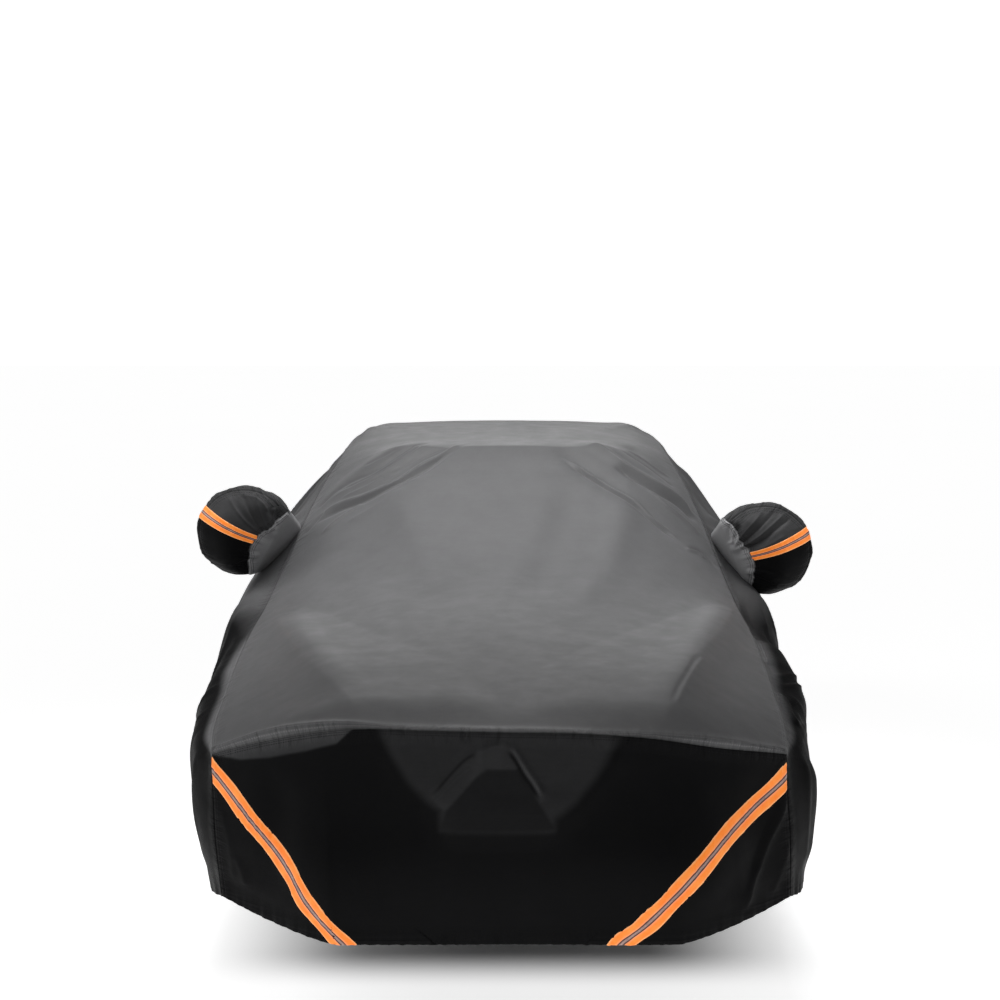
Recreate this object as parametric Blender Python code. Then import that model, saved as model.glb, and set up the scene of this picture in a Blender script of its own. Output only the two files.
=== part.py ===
"""Fitted cover in black and grey coated cloth, draped as a hollow shell.

All shapes are worked out in a working frame: X to the right of someone who
looks at the nose, Y back from the nose, Z up from the ground.  At the end
every piece is moved so that the origin lies under the roof, at the place
where the cover is held up.  All sizes are in metres.
"""
import math

import bmesh
import bpy
import numpy as np
from mathutils import Vector

# ---------------------------------------------------------------- sizes
CLOTH = 0.002            # thickness of the panels' cloth
GAP = 0.0003             # clearance between neighbouring pieces
TAPE = 0.001             # thickness of the reflective tape
TAPE_WIDTH = 0.047       # width of the tape on the front panel
LEAN = 0.030             # shift to the right for each metre of height
LEAN_LEVEL = 1.03        # height that the lean leaves in place
LEAN_TURN = 0.70         # below this height the cover leans back again
LEAN_BACK = 0.090        # by this much for each metre
LEAN_SOFT = 0.06         # height over which it turns
REST_Y = 2.70            # the roof's middle, behind the nose
REST_Z = 1.448           # underside of the top panel there
PLAN_POWER = 2.2         # how square the nose and the tail are in plan
HEM_STRAIGHT = 0.58      # share of the front hem's half-width that is straight
HEM_POWER = 1.3          # how it curves from there to the corners

# One row for each cross-section, nose to tail.  crown_* is the middle line of
# the top panel, seam_* the seam between the top and a side panel, belt_*,
# wide_* and hem_* are points down the side panel; square says how flat the
# middle of the top is.
STATION_COLUMNS = (
    "crown_y", "crown_z", "seam_y", "seam_x", "seam_z", "belt_x", "belt_z",
    "wide_x", "wide_z", "hem_x", "hem_z", "square")
STATIONS = (
    (0.00, 0.862, 0.30, 0.790, 0.740, 0.790, 0.630, 0.792, 0.500, 0.785, 0.340, 2.3),
    (0.16, 0.895, 0.41, 0.800, 0.770, 0.845, 0.700, 0.858, 0.560, 0.826, 0.325, 2.3),
    (0.36, 0.925, 0.56, 0.803, 0.797, 0.876, 0.730, 0.884, 0.580, 0.849, 0.322, 2.3),
    (0.60, 0.958, 0.76, 0.800, 0.828, 0.884, 0.760, 0.892, 0.600, 0.863, 0.345, 2.3),
    (0.85, 0.990, 0.97, 0.800, 0.858, 0.890, 0.790, 0.900, 0.620, 0.876, 0.385, 2.3),
    (1.10, 1.022, 1.18, 0.796, 0.885, 0.888, 0.820, 0.904, 0.640, 0.882, 0.410, 2.4),
    (1.32, 1.054, 1.38, 0.785, 0.915, 0.874, 0.860, 0.905, 0.660, 0.883, 0.420, 2.5),
    (1.50, 1.095, 1.56, 0.768, 0.948, 0.865, 0.900, 0.905, 0.680, 0.883, 0.420, 2.6),
    (1.68, 1.168, 1.74, 0.750, 0.995, 0.863, 0.935, 0.905, 0.690, 0.883, 0.420, 2.8),
    (1.86, 1.255, 1.92, 0.722, 1.070, 0.862, 0.960, 0.905, 0.700, 0.884, 0.415, 3.0),
    (2.03, 1.340, 2.08, 0.683, 1.170, 0.860, 0.970, 0.905, 0.700, 0.884, 0.410, 3.4),
    (2.20, 1.408, 2.25, 0.632, 1.280, 0.850, 0.975, 0.903, 0.700, 0.884, 0.408, 4.0),
    (2.42, 1.438, 2.45, 0.585, 1.360, 0.850, 0.975, 0.900, 0.700, 0.884, 0.405, 4.6),
    (2.70, 1.450, 2.72, 0.565, 1.392, 0.848, 0.975, 0.897, 0.700, 0.884, 0.405, 5.0),
    (3.00, 1.443, 3.00, 0.560, 1.388, 0.848, 0.975, 0.897, 0.700, 0.884, 0.410, 5.0),
    (3.28, 1.420, 3.27, 0.560, 1.365, 0.846, 0.980, 0.897, 0.700, 0.884, 0.415, 4.6),
    (3.55, 1.360, 3.52, 0.572, 1.305, 0.844, 0.980, 0.897, 0.710, 0.884, 0.430, 4.0),
    (3.82, 1.270, 3.78, 0.605, 1.205, 0.838, 0.980, 0.907, 0.720, 0.893, 0.440, 3.4),
    (4.06, 1.178, 4.02, 0.660, 1.105, 0.828, 0.980, 0.902, 0.730, 0.888, 0.440, 3.0),
    (4.26, 1.122, 4.21, 0.700, 1.045, 0.822, 0.970, 0.901, 0.730, 0.894, 0.430, 2.8),
    (4.50, 1.098, 4.42, 0.718, 1.018, 0.810, 0.945, 0.890, 0.720, 0.885, 0.410, 2.6),
    (4.68, 1.088, 4.57, 0.722, 1.003, 0.785, 0.910, 0.840, 0.700, 0.830, 0.390, 2.5),
    (4.80, 1.066, 4.67, 0.718, 0.984, 0.735, 0.850, 0.755, 0.650, 0.750, 0.380, 2.5),
)
LAST = len(STATIONS) - 1

# Middle line of the two end panels, from the top seam down to the hem: how
# far each point stands behind the nose, and its height.
FRONT_MIDDLE = ((0.000, 0.862), (-0.020, 0.640), (-0.022, 0.480), (0.030, 0.283))
REAR_MIDDLE = ((4.800, 1.066), (4.835, 0.860), (4.830, 0.640), (4.740, 0.372))


def column(name):
    """All rows of one named column of the station table."""
    index = STATION_COLUMNS.index(name)
    return np.array([row[index] for row in STATIONS])


def smooth(values, place):
    """Smooth curve through evenly numbered values, read at fractional places."""
    values = np.asarray(values, dtype=float)
    place = np.asarray(place, dtype=float)
    last = len(values) - 1
    low = np.clip(np.floor(place).astype(int), 0, last - 1)
    part = place - low
    before = values[np.maximum(low - 1, 0)]
    start = values[low]
    end = values[low + 1]
    after = values[np.minimum(low + 2, last)]
    start_slope = np.where(low > 0, (end - before) / 2, end - start)
    end_slope = np.where(low + 2 <= last, (after - start) / 2, end - start)
    square = part * part
    cube = square * part
    return (start * (2 * cube - 3 * square + 1) + start_slope * (cube - 2 * square + part)
            + end * (3 * square - 2 * cube) + end_slope * (cube - square))


def leaned(x, y, z):
    """Points of the working frame, with the cover's slight lean to one side."""
    drop = LEAN_TURN - z
    back = LEAN_BACK * (drop + np.hypot(drop, LEAN_SOFT)) / 2
    return np.stack([x + LEAN * (z - LEAN_LEVEL) + back, y, z], axis=-1)


def top_point(place, across):
    """Top panel: place is a row number of the table, across runs -1 to 1."""
    out = np.abs(across)
    crown_y = smooth(column("crown_y"), place)
    crown_z = smooth(column("crown_z"), place)
    seam_y = smooth(column("seam_y"), place)
    seam_z = smooth(column("seam_z"), place)
    power = smooth(column("square"), place)
    x = across * smooth(column("seam_x"), place)
    y = crown_y + (seam_y - crown_y) * out ** PLAN_POWER
    z = crown_z + (seam_z - crown_z) * out ** power
    return leaned(x, y, z)


def side_profile(place, down):
    """Half-width and height of a side panel; down is 0 at the seam, 3 at the hem."""
    names = ("seam", "belt", "wide", "hem")
    x = [smooth(column(name + "_x"), place) for name in names]
    z = [smooth(column(name + "_z"), place) for name in names]
    return smooth_rows(x, down), smooth_rows(z, down)


def smooth_rows(rows, place):
    """As smooth, where each of the few rows is itself an array."""
    rows = np.asarray(rows)
    flat = rows.reshape(len(rows), -1)
    place = np.broadcast_to(place, rows.shape[1:]).ravel()
    found = [smooth(flat[:, i], place[i]) for i in range(flat.shape[1])]
    return np.array(found).reshape(rows.shape[1:])


def side_point(place, down, side):
    """Side panel on one side, -1 or 1, of the cover."""
    x, z = side_profile(place, down)
    y = smooth(column("seam_y"), place)
    return leaned(side * x, y, z)


def end_point(middle, station, down, across):
    """Front or rear panel: down as on the side panels, across -1 to 1."""
    out = np.abs(across)
    place = np.full(np.shape(down), float(station))
    side_x, side_z = side_profile(place, down)
    middle_y = smooth([row[0] for row in middle], down)
    middle_z = smooth([row[1] for row in middle], down)
    corner_y = STATIONS[station][STATION_COLUMNS.index("seam_y")]
    power = STATIONS[station][STATION_COLUMNS.index("square")]
    plan = out ** PLAN_POWER
    rise = out ** power
    if station == 0:
        straight = (np.maximum(out - HEM_STRAIGHT, 0.0) / (1 - HEM_STRAIGHT)) ** HEM_POWER
        plan = plan + (straight - plan) * ease(down / 3)
        rise = rise + (straight - rise) * ease(down / 3)
    y = middle_y + (corner_y - middle_y) * plan
    z = middle_z + (side_z - middle_z) * rise
    return leaned(across * side_x, y, z)


# ================ MESHES
# Columns of the top grid and rows of the side and end grids.
ACROSS_HALF = (0.00, 0.13, 0.26, 0.39, 0.51, 0.62, 0.72, 0.81, 0.88, 0.95, 1.00)
DOWN = (0.00, 0.28, 0.62, 1.00, 1.30, 1.65, 2.00, 2.35, 2.68, 3.00)
STATION_STEPS = (2, 2, 2, 2, 2, 2, 2, 3, 3, 3, 3, 2, 2, 2, 2, 2, 2, 2, 2, 2, 2, 2)
ZIP_PLACES = (12.33, 12.42)      # rows on both sides of the door zip
ZIP_TOP = 1.00                   # the zip runs from the belt line to the hem
HEM_TURN = 0.018                 # the hem is drawn in this far by its elastic
HEM_RISE = 0.005
CORNER_REACH = 3.0               # stations over which the hem's turn swings round a corner
HEM_PULL = 0.0004                # the hem's corners are cut back a little more
FADE = 0.06                      # folds die out this near to a seam
FOLD_END = 0.25                  # share of a fold's length that tapers

# Uneven line of the seam over the nose: lift at even steps from left to right.
NOSE_LIFT = (0.000, 0.014, 0.020, 0.007, 0.000, -0.001, -0.004, -0.012, 0.000)
NOSE_REACH = 1.6

# One row for each main fold: both ends (from_a, from_b, to_a, to_b) in the
# panel's own plane, how far its middle bows aside, its half-width (width) and
# its height, below zero for a trough.
TOP_FOLDS = (                    # a is x, b is y
    (-0.10, 2.28, -0.60, 1.94, 0.05, 0.045, -0.018),
    (-0.22, 2.30, -0.66, 2.10, 0.02, 0.040, 0.018),
    (0.14, 2.24, 0.68, 1.80, -0.03, 0.045, -0.021),
    (0.24, 2.28, 0.68, 2.08, -0.02, 0.040, 0.018),
    (0.42, 2.34, 0.60, 2.18, 0.00, 0.040, -0.013),
    (-0.75, 1.45, -0.40, 0.18, 0.03, 0.070, 0.018),
    (0.77, 1.62, 0.43, 0.10, -0.03, 0.070, 0.021),
    (0.44, 2.10, 0.22, 1.10, 0.02, 0.060, 0.011),
    (0.26, 2.05, 0.08, 1.20, 0.00, 0.060, -0.009),
    (-0.36, 2.05, -0.16, 1.20, 0.00, 0.060, 0.009),
    (-0.48, 2.55, -0.42, 3.30, 0.02, 0.070, 0.011),
    (0.46, 2.60, 0.50, 3.30, 0.02, 0.060, 0.012),
    (0.50, 3.30, 0.24, 3.95, -0.03, 0.060, 0.015),
    (-0.50, 3.35, -0.18, 3.98, 0.03, 0.060, 0.015),
    (0.62, 4.05, 0.34, 4.62, 0.02, 0.055, 0.012),
    (-0.60, 4.10, -0.30, 4.66, 0.02, 0.055, -0.012),
)
RIGHT_FOLDS = (                  # a is y, b is z
    (1.86, 0.98, 1.02, 0.46, -0.03, 0.060, 0.012),
    (1.72, 0.95, 0.86, 0.62, -0.04, 0.050, -0.020),
    (1.40, 0.88, 0.72, 0.70, -0.02, 0.050, 0.017),
    (1.98, 0.96, 2.52, 0.92, -0.17, 0.060, 0.031),
    (2.02, 0.84, 2.56, 0.74, -0.12, 0.055, -0.024),
    (2.10, 1.20, 2.48, 1.00, -0.03, 0.055, 0.024),
    (2.80, 1.34, 2.58, 1.02, 0.03, 0.055, 0.024),
    (3.05, 1.34, 2.90, 1.02, 0.02, 0.055, -0.020),
    (3.45, 1.26, 3.20, 0.96, 0.02, 0.055, 0.022),
    (2.62, 0.94, 3.34, 0.72, -0.06, 0.060, 0.024),
    (2.64, 0.74, 3.60, 0.58, -0.03, 0.065, -0.017),
    (3.86, 1.12, 4.34, 0.76, 0.03, 0.060, 0.020),
    (0.44, 0.72, 0.50, 0.36, 0.01, 0.045, 0.017),
    (0.62, 0.76, 0.60, 0.38, 0.01, 0.045, -0.017),
)
LEFT_FOLDS = (                   # a is y, b is z
    (1.80, 0.96, 1.10, 0.50, -0.03, 0.060, 0.012),
    (1.62, 0.92, 0.80, 0.66, -0.03, 0.050, -0.020),
    (1.96, 0.94, 2.64, 0.90, -0.15, 0.060, 0.027),
    (2.06, 0.80, 2.90, 0.74, -0.10, 0.060, -0.020),
    (2.16, 1.18, 2.60, 0.98, -0.03, 0.055, 0.020),
    (2.95, 1.32, 2.70, 1.00, 0.02, 0.055, -0.020),
    (3.40, 1.26, 3.12, 0.96, 0.02, 0.055, 0.022),
    (2.90, 0.88, 3.60, 0.66, -0.05, 0.060, 0.020),
    (3.90, 1.10, 4.32, 0.74, 0.03, 0.060, 0.019),
    (0.46, 0.73, 0.48, 0.36, 0.01, 0.045, -0.012),
    (0.70, 0.78, 0.66, 0.40, 0.01, 0.045, -0.015),
)
FRONT_FOLDS = (                  # a is x, b is z
    (-0.22, 0.64, 0.24, 0.64, 0.00, 0.075, 0.031),
    (-0.31, 0.84, -0.12, 0.62, 0.00, 0.045, 0.012),
    (0.34, 0.82, 0.14, 0.62, 0.00, 0.045, 0.012),
    (-0.07, 0.83, 0.02, 0.83, 0.00, 0.050, 0.014),
    (0.50, 0.76, 0.56, 0.36, 0.02, 0.055, 0.010),
    (0.68, 0.72, 0.70, 0.40, 0.01, 0.050, -0.010),
    (-0.60, 0.74, -0.66, 0.38, 0.02, 0.055, -0.010),
)
REAR_FOLDS = (                   # a is x, b is z
    (-0.56, 0.94, -0.34, 0.50, 0.03, 0.060, 0.019),
    (-0.20, 0.98, -0.10, 0.46, 0.01, 0.060, -0.014),
    (0.22, 0.98, 0.16, 0.50, 0.02, 0.060, 0.016),
    (0.58, 0.92, 0.40, 0.46, -0.03, 0.060, -0.018),
)


def ease(value):
    """Soft step from 0 to 1."""
    value = np.clip(value, 0.0, 1.0)
    return value * value * (3 - 2 * value)


def fold_lift(folds, a, b):
    """How far the folds lift the cloth at the points a, b of its own plane."""
    lift = np.zeros_like(a)
    for from_a, from_b, to_a, to_b, bow, width, height in folds:
        length = math.hypot(to_a - from_a, to_b - from_b)
        step_a = (to_a - from_a) / length
        step_b = (to_b - from_b) / length
        along = ((a - from_a) * step_a + (b - from_b) * step_b) / length
        aside = (b - from_b) * step_a - (a - from_a) * step_b
        aside = aside - bow * 4 * along * (1 - along)
        ends = ease(along / FOLD_END) * ease((1 - along) / FOLD_END)
        lift = lift + height * np.exp(-(aside / width) ** 2) * ends
    return lift


def station_places():
    """Row numbers of the long grids, with a narrow pair for the door zip."""
    places = []
    for station, steps in enumerate(STATION_STEPS):
        places.extend(station + part / steps for part in range(steps))
    places.append(float(LAST))
    middle = sum(ZIP_PLACES) / 2
    places = [place for place in places if abs(place - middle) > 0.10]
    return np.array(sorted(places + list(ZIP_PLACES)))


class Skin:
    """Points of several grids, welded where they meet, with their normals."""

    def __init__(self):
        self.points = []
        self.lifts = []
        self.found = {}
        self.grids = {}
        self.flipped = set()
        self.turned = set()

    def add_grid(self, name, points, lifts, flip=False):
        """Adds a grid of rows and columns and keeps the numbers of its points."""
        if flip:
            self.flipped.add(name)
        rows, columns = points.shape[:2]
        numbers = np.zeros((rows, columns), dtype=int)
        for row in range(rows):
            for col in range(columns):
                key = tuple(round(float(value), 6) for value in points[row, col])
                if key not in self.found:
                    self.found[key] = len(self.points)
                    self.points.append(points[row, col])
                    self.lifts.append(lifts[row, col])
                numbers[row, col] = self.found[key]
        self.grids[name] = numbers

    def cells(self, name, keep=None):
        """Triangles of a grid, wound outward; keep picks rows and columns."""
        numbers = self.grids[name]
        faces = []
        for row in range(numbers.shape[0] - 1):
            for col in range(numbers.shape[1] - 1):
                if keep is not None and not keep(row, col):
                    continue
                corners = (numbers[row, col], numbers[row, col + 1],
                           numbers[row + 1, col + 1], numbers[row + 1, col])
                face = [int(n) for i, n in enumerate(corners) if n != corners[i - 1]]
                if name in self.flipped:
                    face.reverse()
                faces.extend(self.split(face))
        return faces

    def split(self, face):
        """Splits a four-cornered face along its shorter diagonal."""
        if len(face) < 4:
            return [face] if len(face) == 3 else []
        a, b, c, d = face
        first = np.linalg.norm(np.subtract(self.points[a], self.points[c]))
        second = np.linalg.norm(np.subtract(self.points[b], self.points[d]))
        if first <= second:
            return [[a, b, c], [a, c, d]]
        return [[a, b, d], [b, c, d]]

    def finish(self):
        """Works out the normals, then lifts each point along its own by its fold."""
        base = np.array(self.points)
        faces = [face for name in self.grids for face in self.cells(name)]
        self.free = {edge for edge, found in edge_uses(faces).items() if len(found) == 1}
        normals = vertex_normals(base, faces)
        self.points = base + normals * np.array(self.lifts)[:, None]
        self.normals = vertex_normals(self.points, faces)


def vertex_normals(points, faces):
    """Normals of a mesh's points, each triangle weighed by its corner's angle."""
    corners = points[np.array(faces)]
    turns = np.cross(corners[:, 1] - corners[:, 0], corners[:, 2] - corners[:, 0])
    turns = turns / np.maximum(np.linalg.norm(turns, axis=1), 1e-15)[:, None]
    normals = np.zeros_like(points)
    for i in range(3):
        first = corners[:, (i + 1) % 3] - corners[:, i]
        second = corners[:, (i + 2) % 3] - corners[:, i]
        lengths = np.linalg.norm(first, axis=1) * np.linalg.norm(second, axis=1)
        cosine = np.sum(first * second, axis=1) / np.maximum(lengths, 1e-15)
        angle = np.arccos(np.clip(cosine, -1.0, 1.0))
        np.add.at(normals, np.array(faces)[:, i], turns * angle[:, None])
    lengths = np.linalg.norm(normals, axis=1)
    return normals / np.maximum(lengths, 1e-12)[:, None]


def turned_hem(points, inward):
    """Adds a last row that turns the hem in."""
    turned = points[-1] + inward * HEM_TURN + np.array((0.0, 0.0, HEM_RISE))
    return np.concatenate([points, turned[None]])


def with_last_row(lifts):
    """Adds a row without lift, for the turned hem."""
    return np.concatenate([lifts, np.zeros_like(lifts[:1])])


def nose_lift(across):
    """Lift of the seam over the nose."""
    return smooth(NOSE_LIFT, (across + 1) / 2 * (len(NOSE_LIFT) - 1))


def cover_skin():
    """All the large panels as one welded skin."""
    skin = Skin()
    across = np.array([-a for a in ACROSS_HALF[:0:-1]] + list(ACROSS_HALF))
    down = np.array(DOWN)
    places = station_places()

    place, over = np.meshgrid(places, across, indexing="ij")
    top = top_point(place, over)
    top[..., 2] += nose_lift(over) * (1 - ease(place / NOSE_REACH))
    near_seam = (1 - np.abs(over)) * smooth(column("seam_x"), place) / FADE
    lift = fold_lift(TOP_FOLDS, top[..., 0], top[..., 1]) * ease(near_seam)
    lift = lift * ease(place / 0.5) * ease((LAST - place) / 0.5)
    skin.add_grid("top", top, lift)

    for name, side, folds in (("left", -1, LEFT_FOLDS), ("right", 1, RIGHT_FOLDS)):
        place, low = np.meshgrid(places, down, indexing="ij")
        points = side_point(place, low, side)
        lift = fold_lift(folds, points[..., 1], points[..., 2])
        lift = lift * ease(low / 0.35) * ease(place / 0.5) * ease((LAST - place) / 0.5)
        points = np.swapaxes(points, 0, 1)
        swing = math.pi / 4 * (ease((LAST - places) / CORNER_REACH) - ease(places / CORNER_REACH))
        inward = np.stack([-side * np.cos(swing), np.sin(swing), 0 * swing], axis=-1)
        skin.add_grid(name, turned_hem(points, inward), with_last_row(lift.T), flip=side > 0)
        skin.turned.update(int(n) for n in skin.grids[name][-2:].ravel())

    ends = (
        ("front", FRONT_MIDDLE, 0, 1.0, FRONT_FOLDS),
        ("rear", REAR_MIDDLE, LAST, -1.0, REAR_FOLDS),
    )
    for name, middle, station, inside, folds in ends:
        low, over = np.meshgrid(down, across, indexing="ij")
        points = end_point(middle, station, low, over)
        if name == "front":
            points[..., 2] += nose_lift(over) * (1 - ease(low / NOSE_REACH))
        lift = fold_lift(folds, points[..., 0], points[..., 2])
        lift = lift * ease(low / 0.35) * ease((1 - np.abs(over)) / 0.08)
        swing = math.pi / 4 * np.abs(across) ** 4
        inward = np.stack([-np.sign(across) * np.sin(swing), inside * np.cos(swing), 0 * swing], axis=-1)
        skin.add_grid(name, turned_hem(points, inward), with_last_row(lift), flip=name == "front")
        skin.turned.update(int(n) for n in skin.grids[name][-2:].ravel())
    return skin


def edge_uses(faces):
    """Each edge with its uses: start, end and the face that has it."""
    uses = {}
    for face in faces:
        for i, start in enumerate(face):
            end = face[(i + 1) % len(face)]
            uses.setdefault((min(start, end), max(start, end)), []).append((start, end, face))
    return uses


def edge_pull(skin, uses):
    """Shift that draws a panel's seams in by half of the gap to its neighbour."""
    inward = {}
    for edge, found in uses.items():
        if len(found) > 1 or edge in skin.free:
            continue
        start, end, face = found[0]
        run = skin.points[end] - skin.points[start]
        middle = skin.points[face].mean(axis=0)
        for number in (start, end):
            aside = np.cross(skin.normals[number], run)
            aside = aside / np.linalg.norm(aside)
            if aside @ (middle - skin.points[number]) < 0:
                aside = -aside
            inward.setdefault(number, []).append(aside)
    pulls = {}
    for number, sides in inward.items():
        shared = 1 + sides[0] @ sides[1] if len(sides) == 2 else 1
        pull = HEM_PULL if number in skin.turned else GAP / 2
        pulls[number] = np.sum(sides, axis=0) / max(shared, 0.2) * pull
    return pulls


def shell_mesh(name, skin, faces, low, high):
    """Closed sheet between two offsets, low and high, of the skin's faces given."""
    uses = edge_uses(faces)
    pulls = edge_pull(skin, uses)
    numbers = sorted({number for face in faces for number in face})
    place = {number: i for i, number in enumerate(numbers)}
    count = len(numbers)
    middle = np.array([skin.points[n] + pulls.get(n, 0.0) for n in numbers])
    along = skin.normals[numbers]
    corners = np.concatenate([middle + along * high, middle + along * low])
    outside = [[place[n] for n in face] for face in faces]
    inside = [[place[n] + count for n in reversed(face)] for face in faces]
    rim = []
    for found in uses.values():
        if len(found) > 1:
            continue
        start, end = found[0][:2]
        high_start, high_end = place[start], place[end]
        low_start, low_end = high_start + count, high_end + count
        if start < end:          # neighbours split their facing rims alike
            rim += [[high_end, high_start, low_end], [high_start, low_start, low_end]]
        else:
            rim += [[high_end, high_start, low_start], [high_end, low_start, low_end]]
    mesh = bpy.data.meshes.new(name)
    mesh.from_pydata(corners.tolist(), [], outside + inside + rim)
    mesh.validate()
    return mesh


# ---------------------------------------------------------------- objects
COLOURS = {                      # base colour, roughness, metallic
    "top_cloth": ((0.105, 0.105, 0.108), 0.52, 0.0),
    "side_cloth": ((0.030, 0.030, 0.031), 0.50, 0.0),
    "black_cloth": ((0.010, 0.010, 0.011), 0.55, 0.0),
    "zip_tape": ((0.012, 0.012, 0.012), 0.60, 0.0),
    "reflective_tape": ((0.90, 0.26, 0.06), 0.40, 0.0),
    "webbing": ((0.018, 0.018, 0.018), 0.70, 0.0),
    "black_plastic": ((0.020, 0.020, 0.020), 0.35, 0.0),
    "tie_cord": ((0.020, 0.020, 0.020), 0.75, 0.0),
}


def material(name):
    """The Principled material of that name, made on first use."""
    found = bpy.data.materials.get(name)
    if found is None:
        colour, roughness, metallic = COLOURS[name]
        found = bpy.data.materials.new(name)
        found.use_nodes = True
        shader = found.node_tree.nodes["Principled BSDF"]
        shader.inputs["Base Color"].default_value = (*colour, 1.0)
        shader.inputs["Roughness"].default_value = roughness
        shader.inputs["Metallic"].default_value = metallic
    return found


def add_object(name, data, slot=None):
    """Links an object; one without a material slot is a helper that isn't built."""
    made = bpy.data.objects.new(name, data)
    bpy.context.scene.collection.objects.link(made)
    if slot is None:
        made.hide_render = True
        made.display_type = "WIRE"
    else:
        data.materials.append(material(slot))
    return made


def cut(target, cutter, operation="DIFFERENCE"):
    """Adds an exact Boolean of the target with the cutter."""
    step = target.modifiers.new(cutter.name, "BOOLEAN")
    step.operation = operation
    step.solver = "EXACT"
    step.object = cutter


def prism(name, outline, low, high):
    """Closed prism along Y over an outline of x, z pairs."""
    count = len(outline)
    corners = [(x, low, z) for x, z in outline] + [(x, high, z) for x, z in outline]
    faces = [list(range(count)), list(range(2 * count - 1, count - 1, -1))]
    for i in range(count):
        after = (i + 1) % count
        faces.append([after, i, i + count, after + count])
    mesh = bpy.data.meshes.new(name)
    mesh.from_pydata(corners, [], faces)
    face_outward(mesh)
    return mesh


def face_outward(mesh):
    """Turns a closed mesh's faces to point out."""
    work = bmesh.new()
    work.from_mesh(mesh)
    bmesh.ops.recalc_face_normals(work, faces=work.faces)
    work.to_mesh(mesh)
    work.free()


# ---------------------------------------------------------------- panels
def in_zip(row, col):
    """True for the cells of the right-hand grid that the door zip takes up."""
    places = station_places()
    return abs(places[col] - ZIP_PLACES[0]) < 1e-6 and DOWN[min(row, len(DOWN) - 1)] >= ZIP_TOP


def build_panels(skin):
    """Top, side, front and rear panels and the door zip."""
    half = CLOTH / 2
    panels = (
        ("top_panel", "top", None, "top_cloth"),
        ("side_panel_left", "left", None, "side_cloth"),
        ("side_panel_right", "right", lambda row, col: not in_zip(row, col), "side_cloth"),
        ("door_zip", "right", in_zip, "zip_tape"),
        ("front_panel", "front", None, "black_cloth"),
        ("rear_panel", "rear", None, "black_cloth"),
    )
    made = {}
    for name, grid, keep, slot in panels:
        mesh = shell_mesh(name, skin, skin.cells(grid, keep), -half, half)
        made[name] = add_object(name, mesh, slot)
    return made


def inside_solid(skin):
    """The space under the cover, up to the clearance over its outer face."""
    reach = CLOTH / 2 + GAP
    points = skin.points + skin.normals * reach
    faces = [face for name in skin.grids for face in skin.cells(name)]
    rim = [int(n) for n in skin.grids["front"][-1]]
    rim += [int(n) for n in skin.grids["right"][-1][1:]]
    rim += [int(n) for n in skin.grids["rear"][-1][::-1][1:]]
    rim += [int(n) for n in skin.grids["left"][-1][::-1][1:-1]]
    centre = len(points)
    points = np.concatenate([points, points[rim].mean(axis=0)[None]])
    for i, start in enumerate(rim):
        faces.append([centre, start, rim[(i + 1) % len(rim)]])
    mesh = bpy.data.meshes.new("inside_solid")
    mesh.from_pydata(points.tolist(), [], faces)
    face_outward(mesh)
    return add_object("inside_solid", mesh)


# ---------------------------------------------------------------- front tapes
# Middle line of each tape on the front panel, from the side seam to the hem.
TAPE_LINES = {
    "left": ((-0.840, 0.742), (-0.798, 0.698), (-0.692, 0.591), (-0.578, 0.479),
             (-0.520, 0.388), (-0.416, 0.285), (-0.380, 0.235)),
    "right": ((0.830, 0.725), (0.765, 0.665), (0.588, 0.543), (0.464, 0.425),
              (0.382, 0.340), (0.313, 0.280), (0.275, 0.230)),
}
TAPE_WAVE = 0.0018               # how far the tape's edges wave
TAPE_POINTS = 22


def tape_outline(line, phase):
    """Closed outline of a tape with slightly waving edges."""
    place = np.linspace(0, len(line) - 1, TAPE_POINTS)
    middle = np.stack([smooth([p[0] for p in line], place), smooth([p[1] for p in line], place)], axis=1)
    run = np.gradient(middle, axis=0)
    run = run / np.linalg.norm(run, axis=1)[:, None]
    aside = np.stack([-run[:, 1], run[:, 0]], axis=1)
    first = TAPE_WIDTH / 2 + TAPE_WAVE * np.sin(place * 5.1 + phase)
    second = TAPE_WIDTH / 2 + TAPE_WAVE * np.sin(place * 6.3 + phase + 1.7)
    upper = middle + aside * first[:, None]
    lower = middle - aside * second[:, None]
    return [tuple(p) for p in upper] + [tuple(p) for p in lower[::-1]]


def build_front_tapes(skin):
    """The two slanting tapes, each cut from a layer on the front panel."""
    low = CLOTH / 2 + GAP
    for phase, (side, line) in enumerate(TAPE_LINES.items()):
        cells = skin.cells("front", tape_cells(skin, side))
        layer = shell_mesh("front_tape_" + side, skin, cells, low, low + TAPE)
        tape = add_object("front_tape_" + side, layer, "reflective_tape")
        outline = prism("outline_" + side, tape_outline(line, phase), -0.4, 0.8)
        cut(tape, add_object("outline_" + side, outline), "INTERSECT")


def tape_cells(skin, side):
    """Cells of the front grid on one side, without the turned hem."""
    rows, columns = skin.grids["front"].shape
    middle = (columns - 1) // 2

    def keep(row, col):
        return row < rows - 2 and (col < middle if side == "left" else col >= middle)
    return keep


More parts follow.
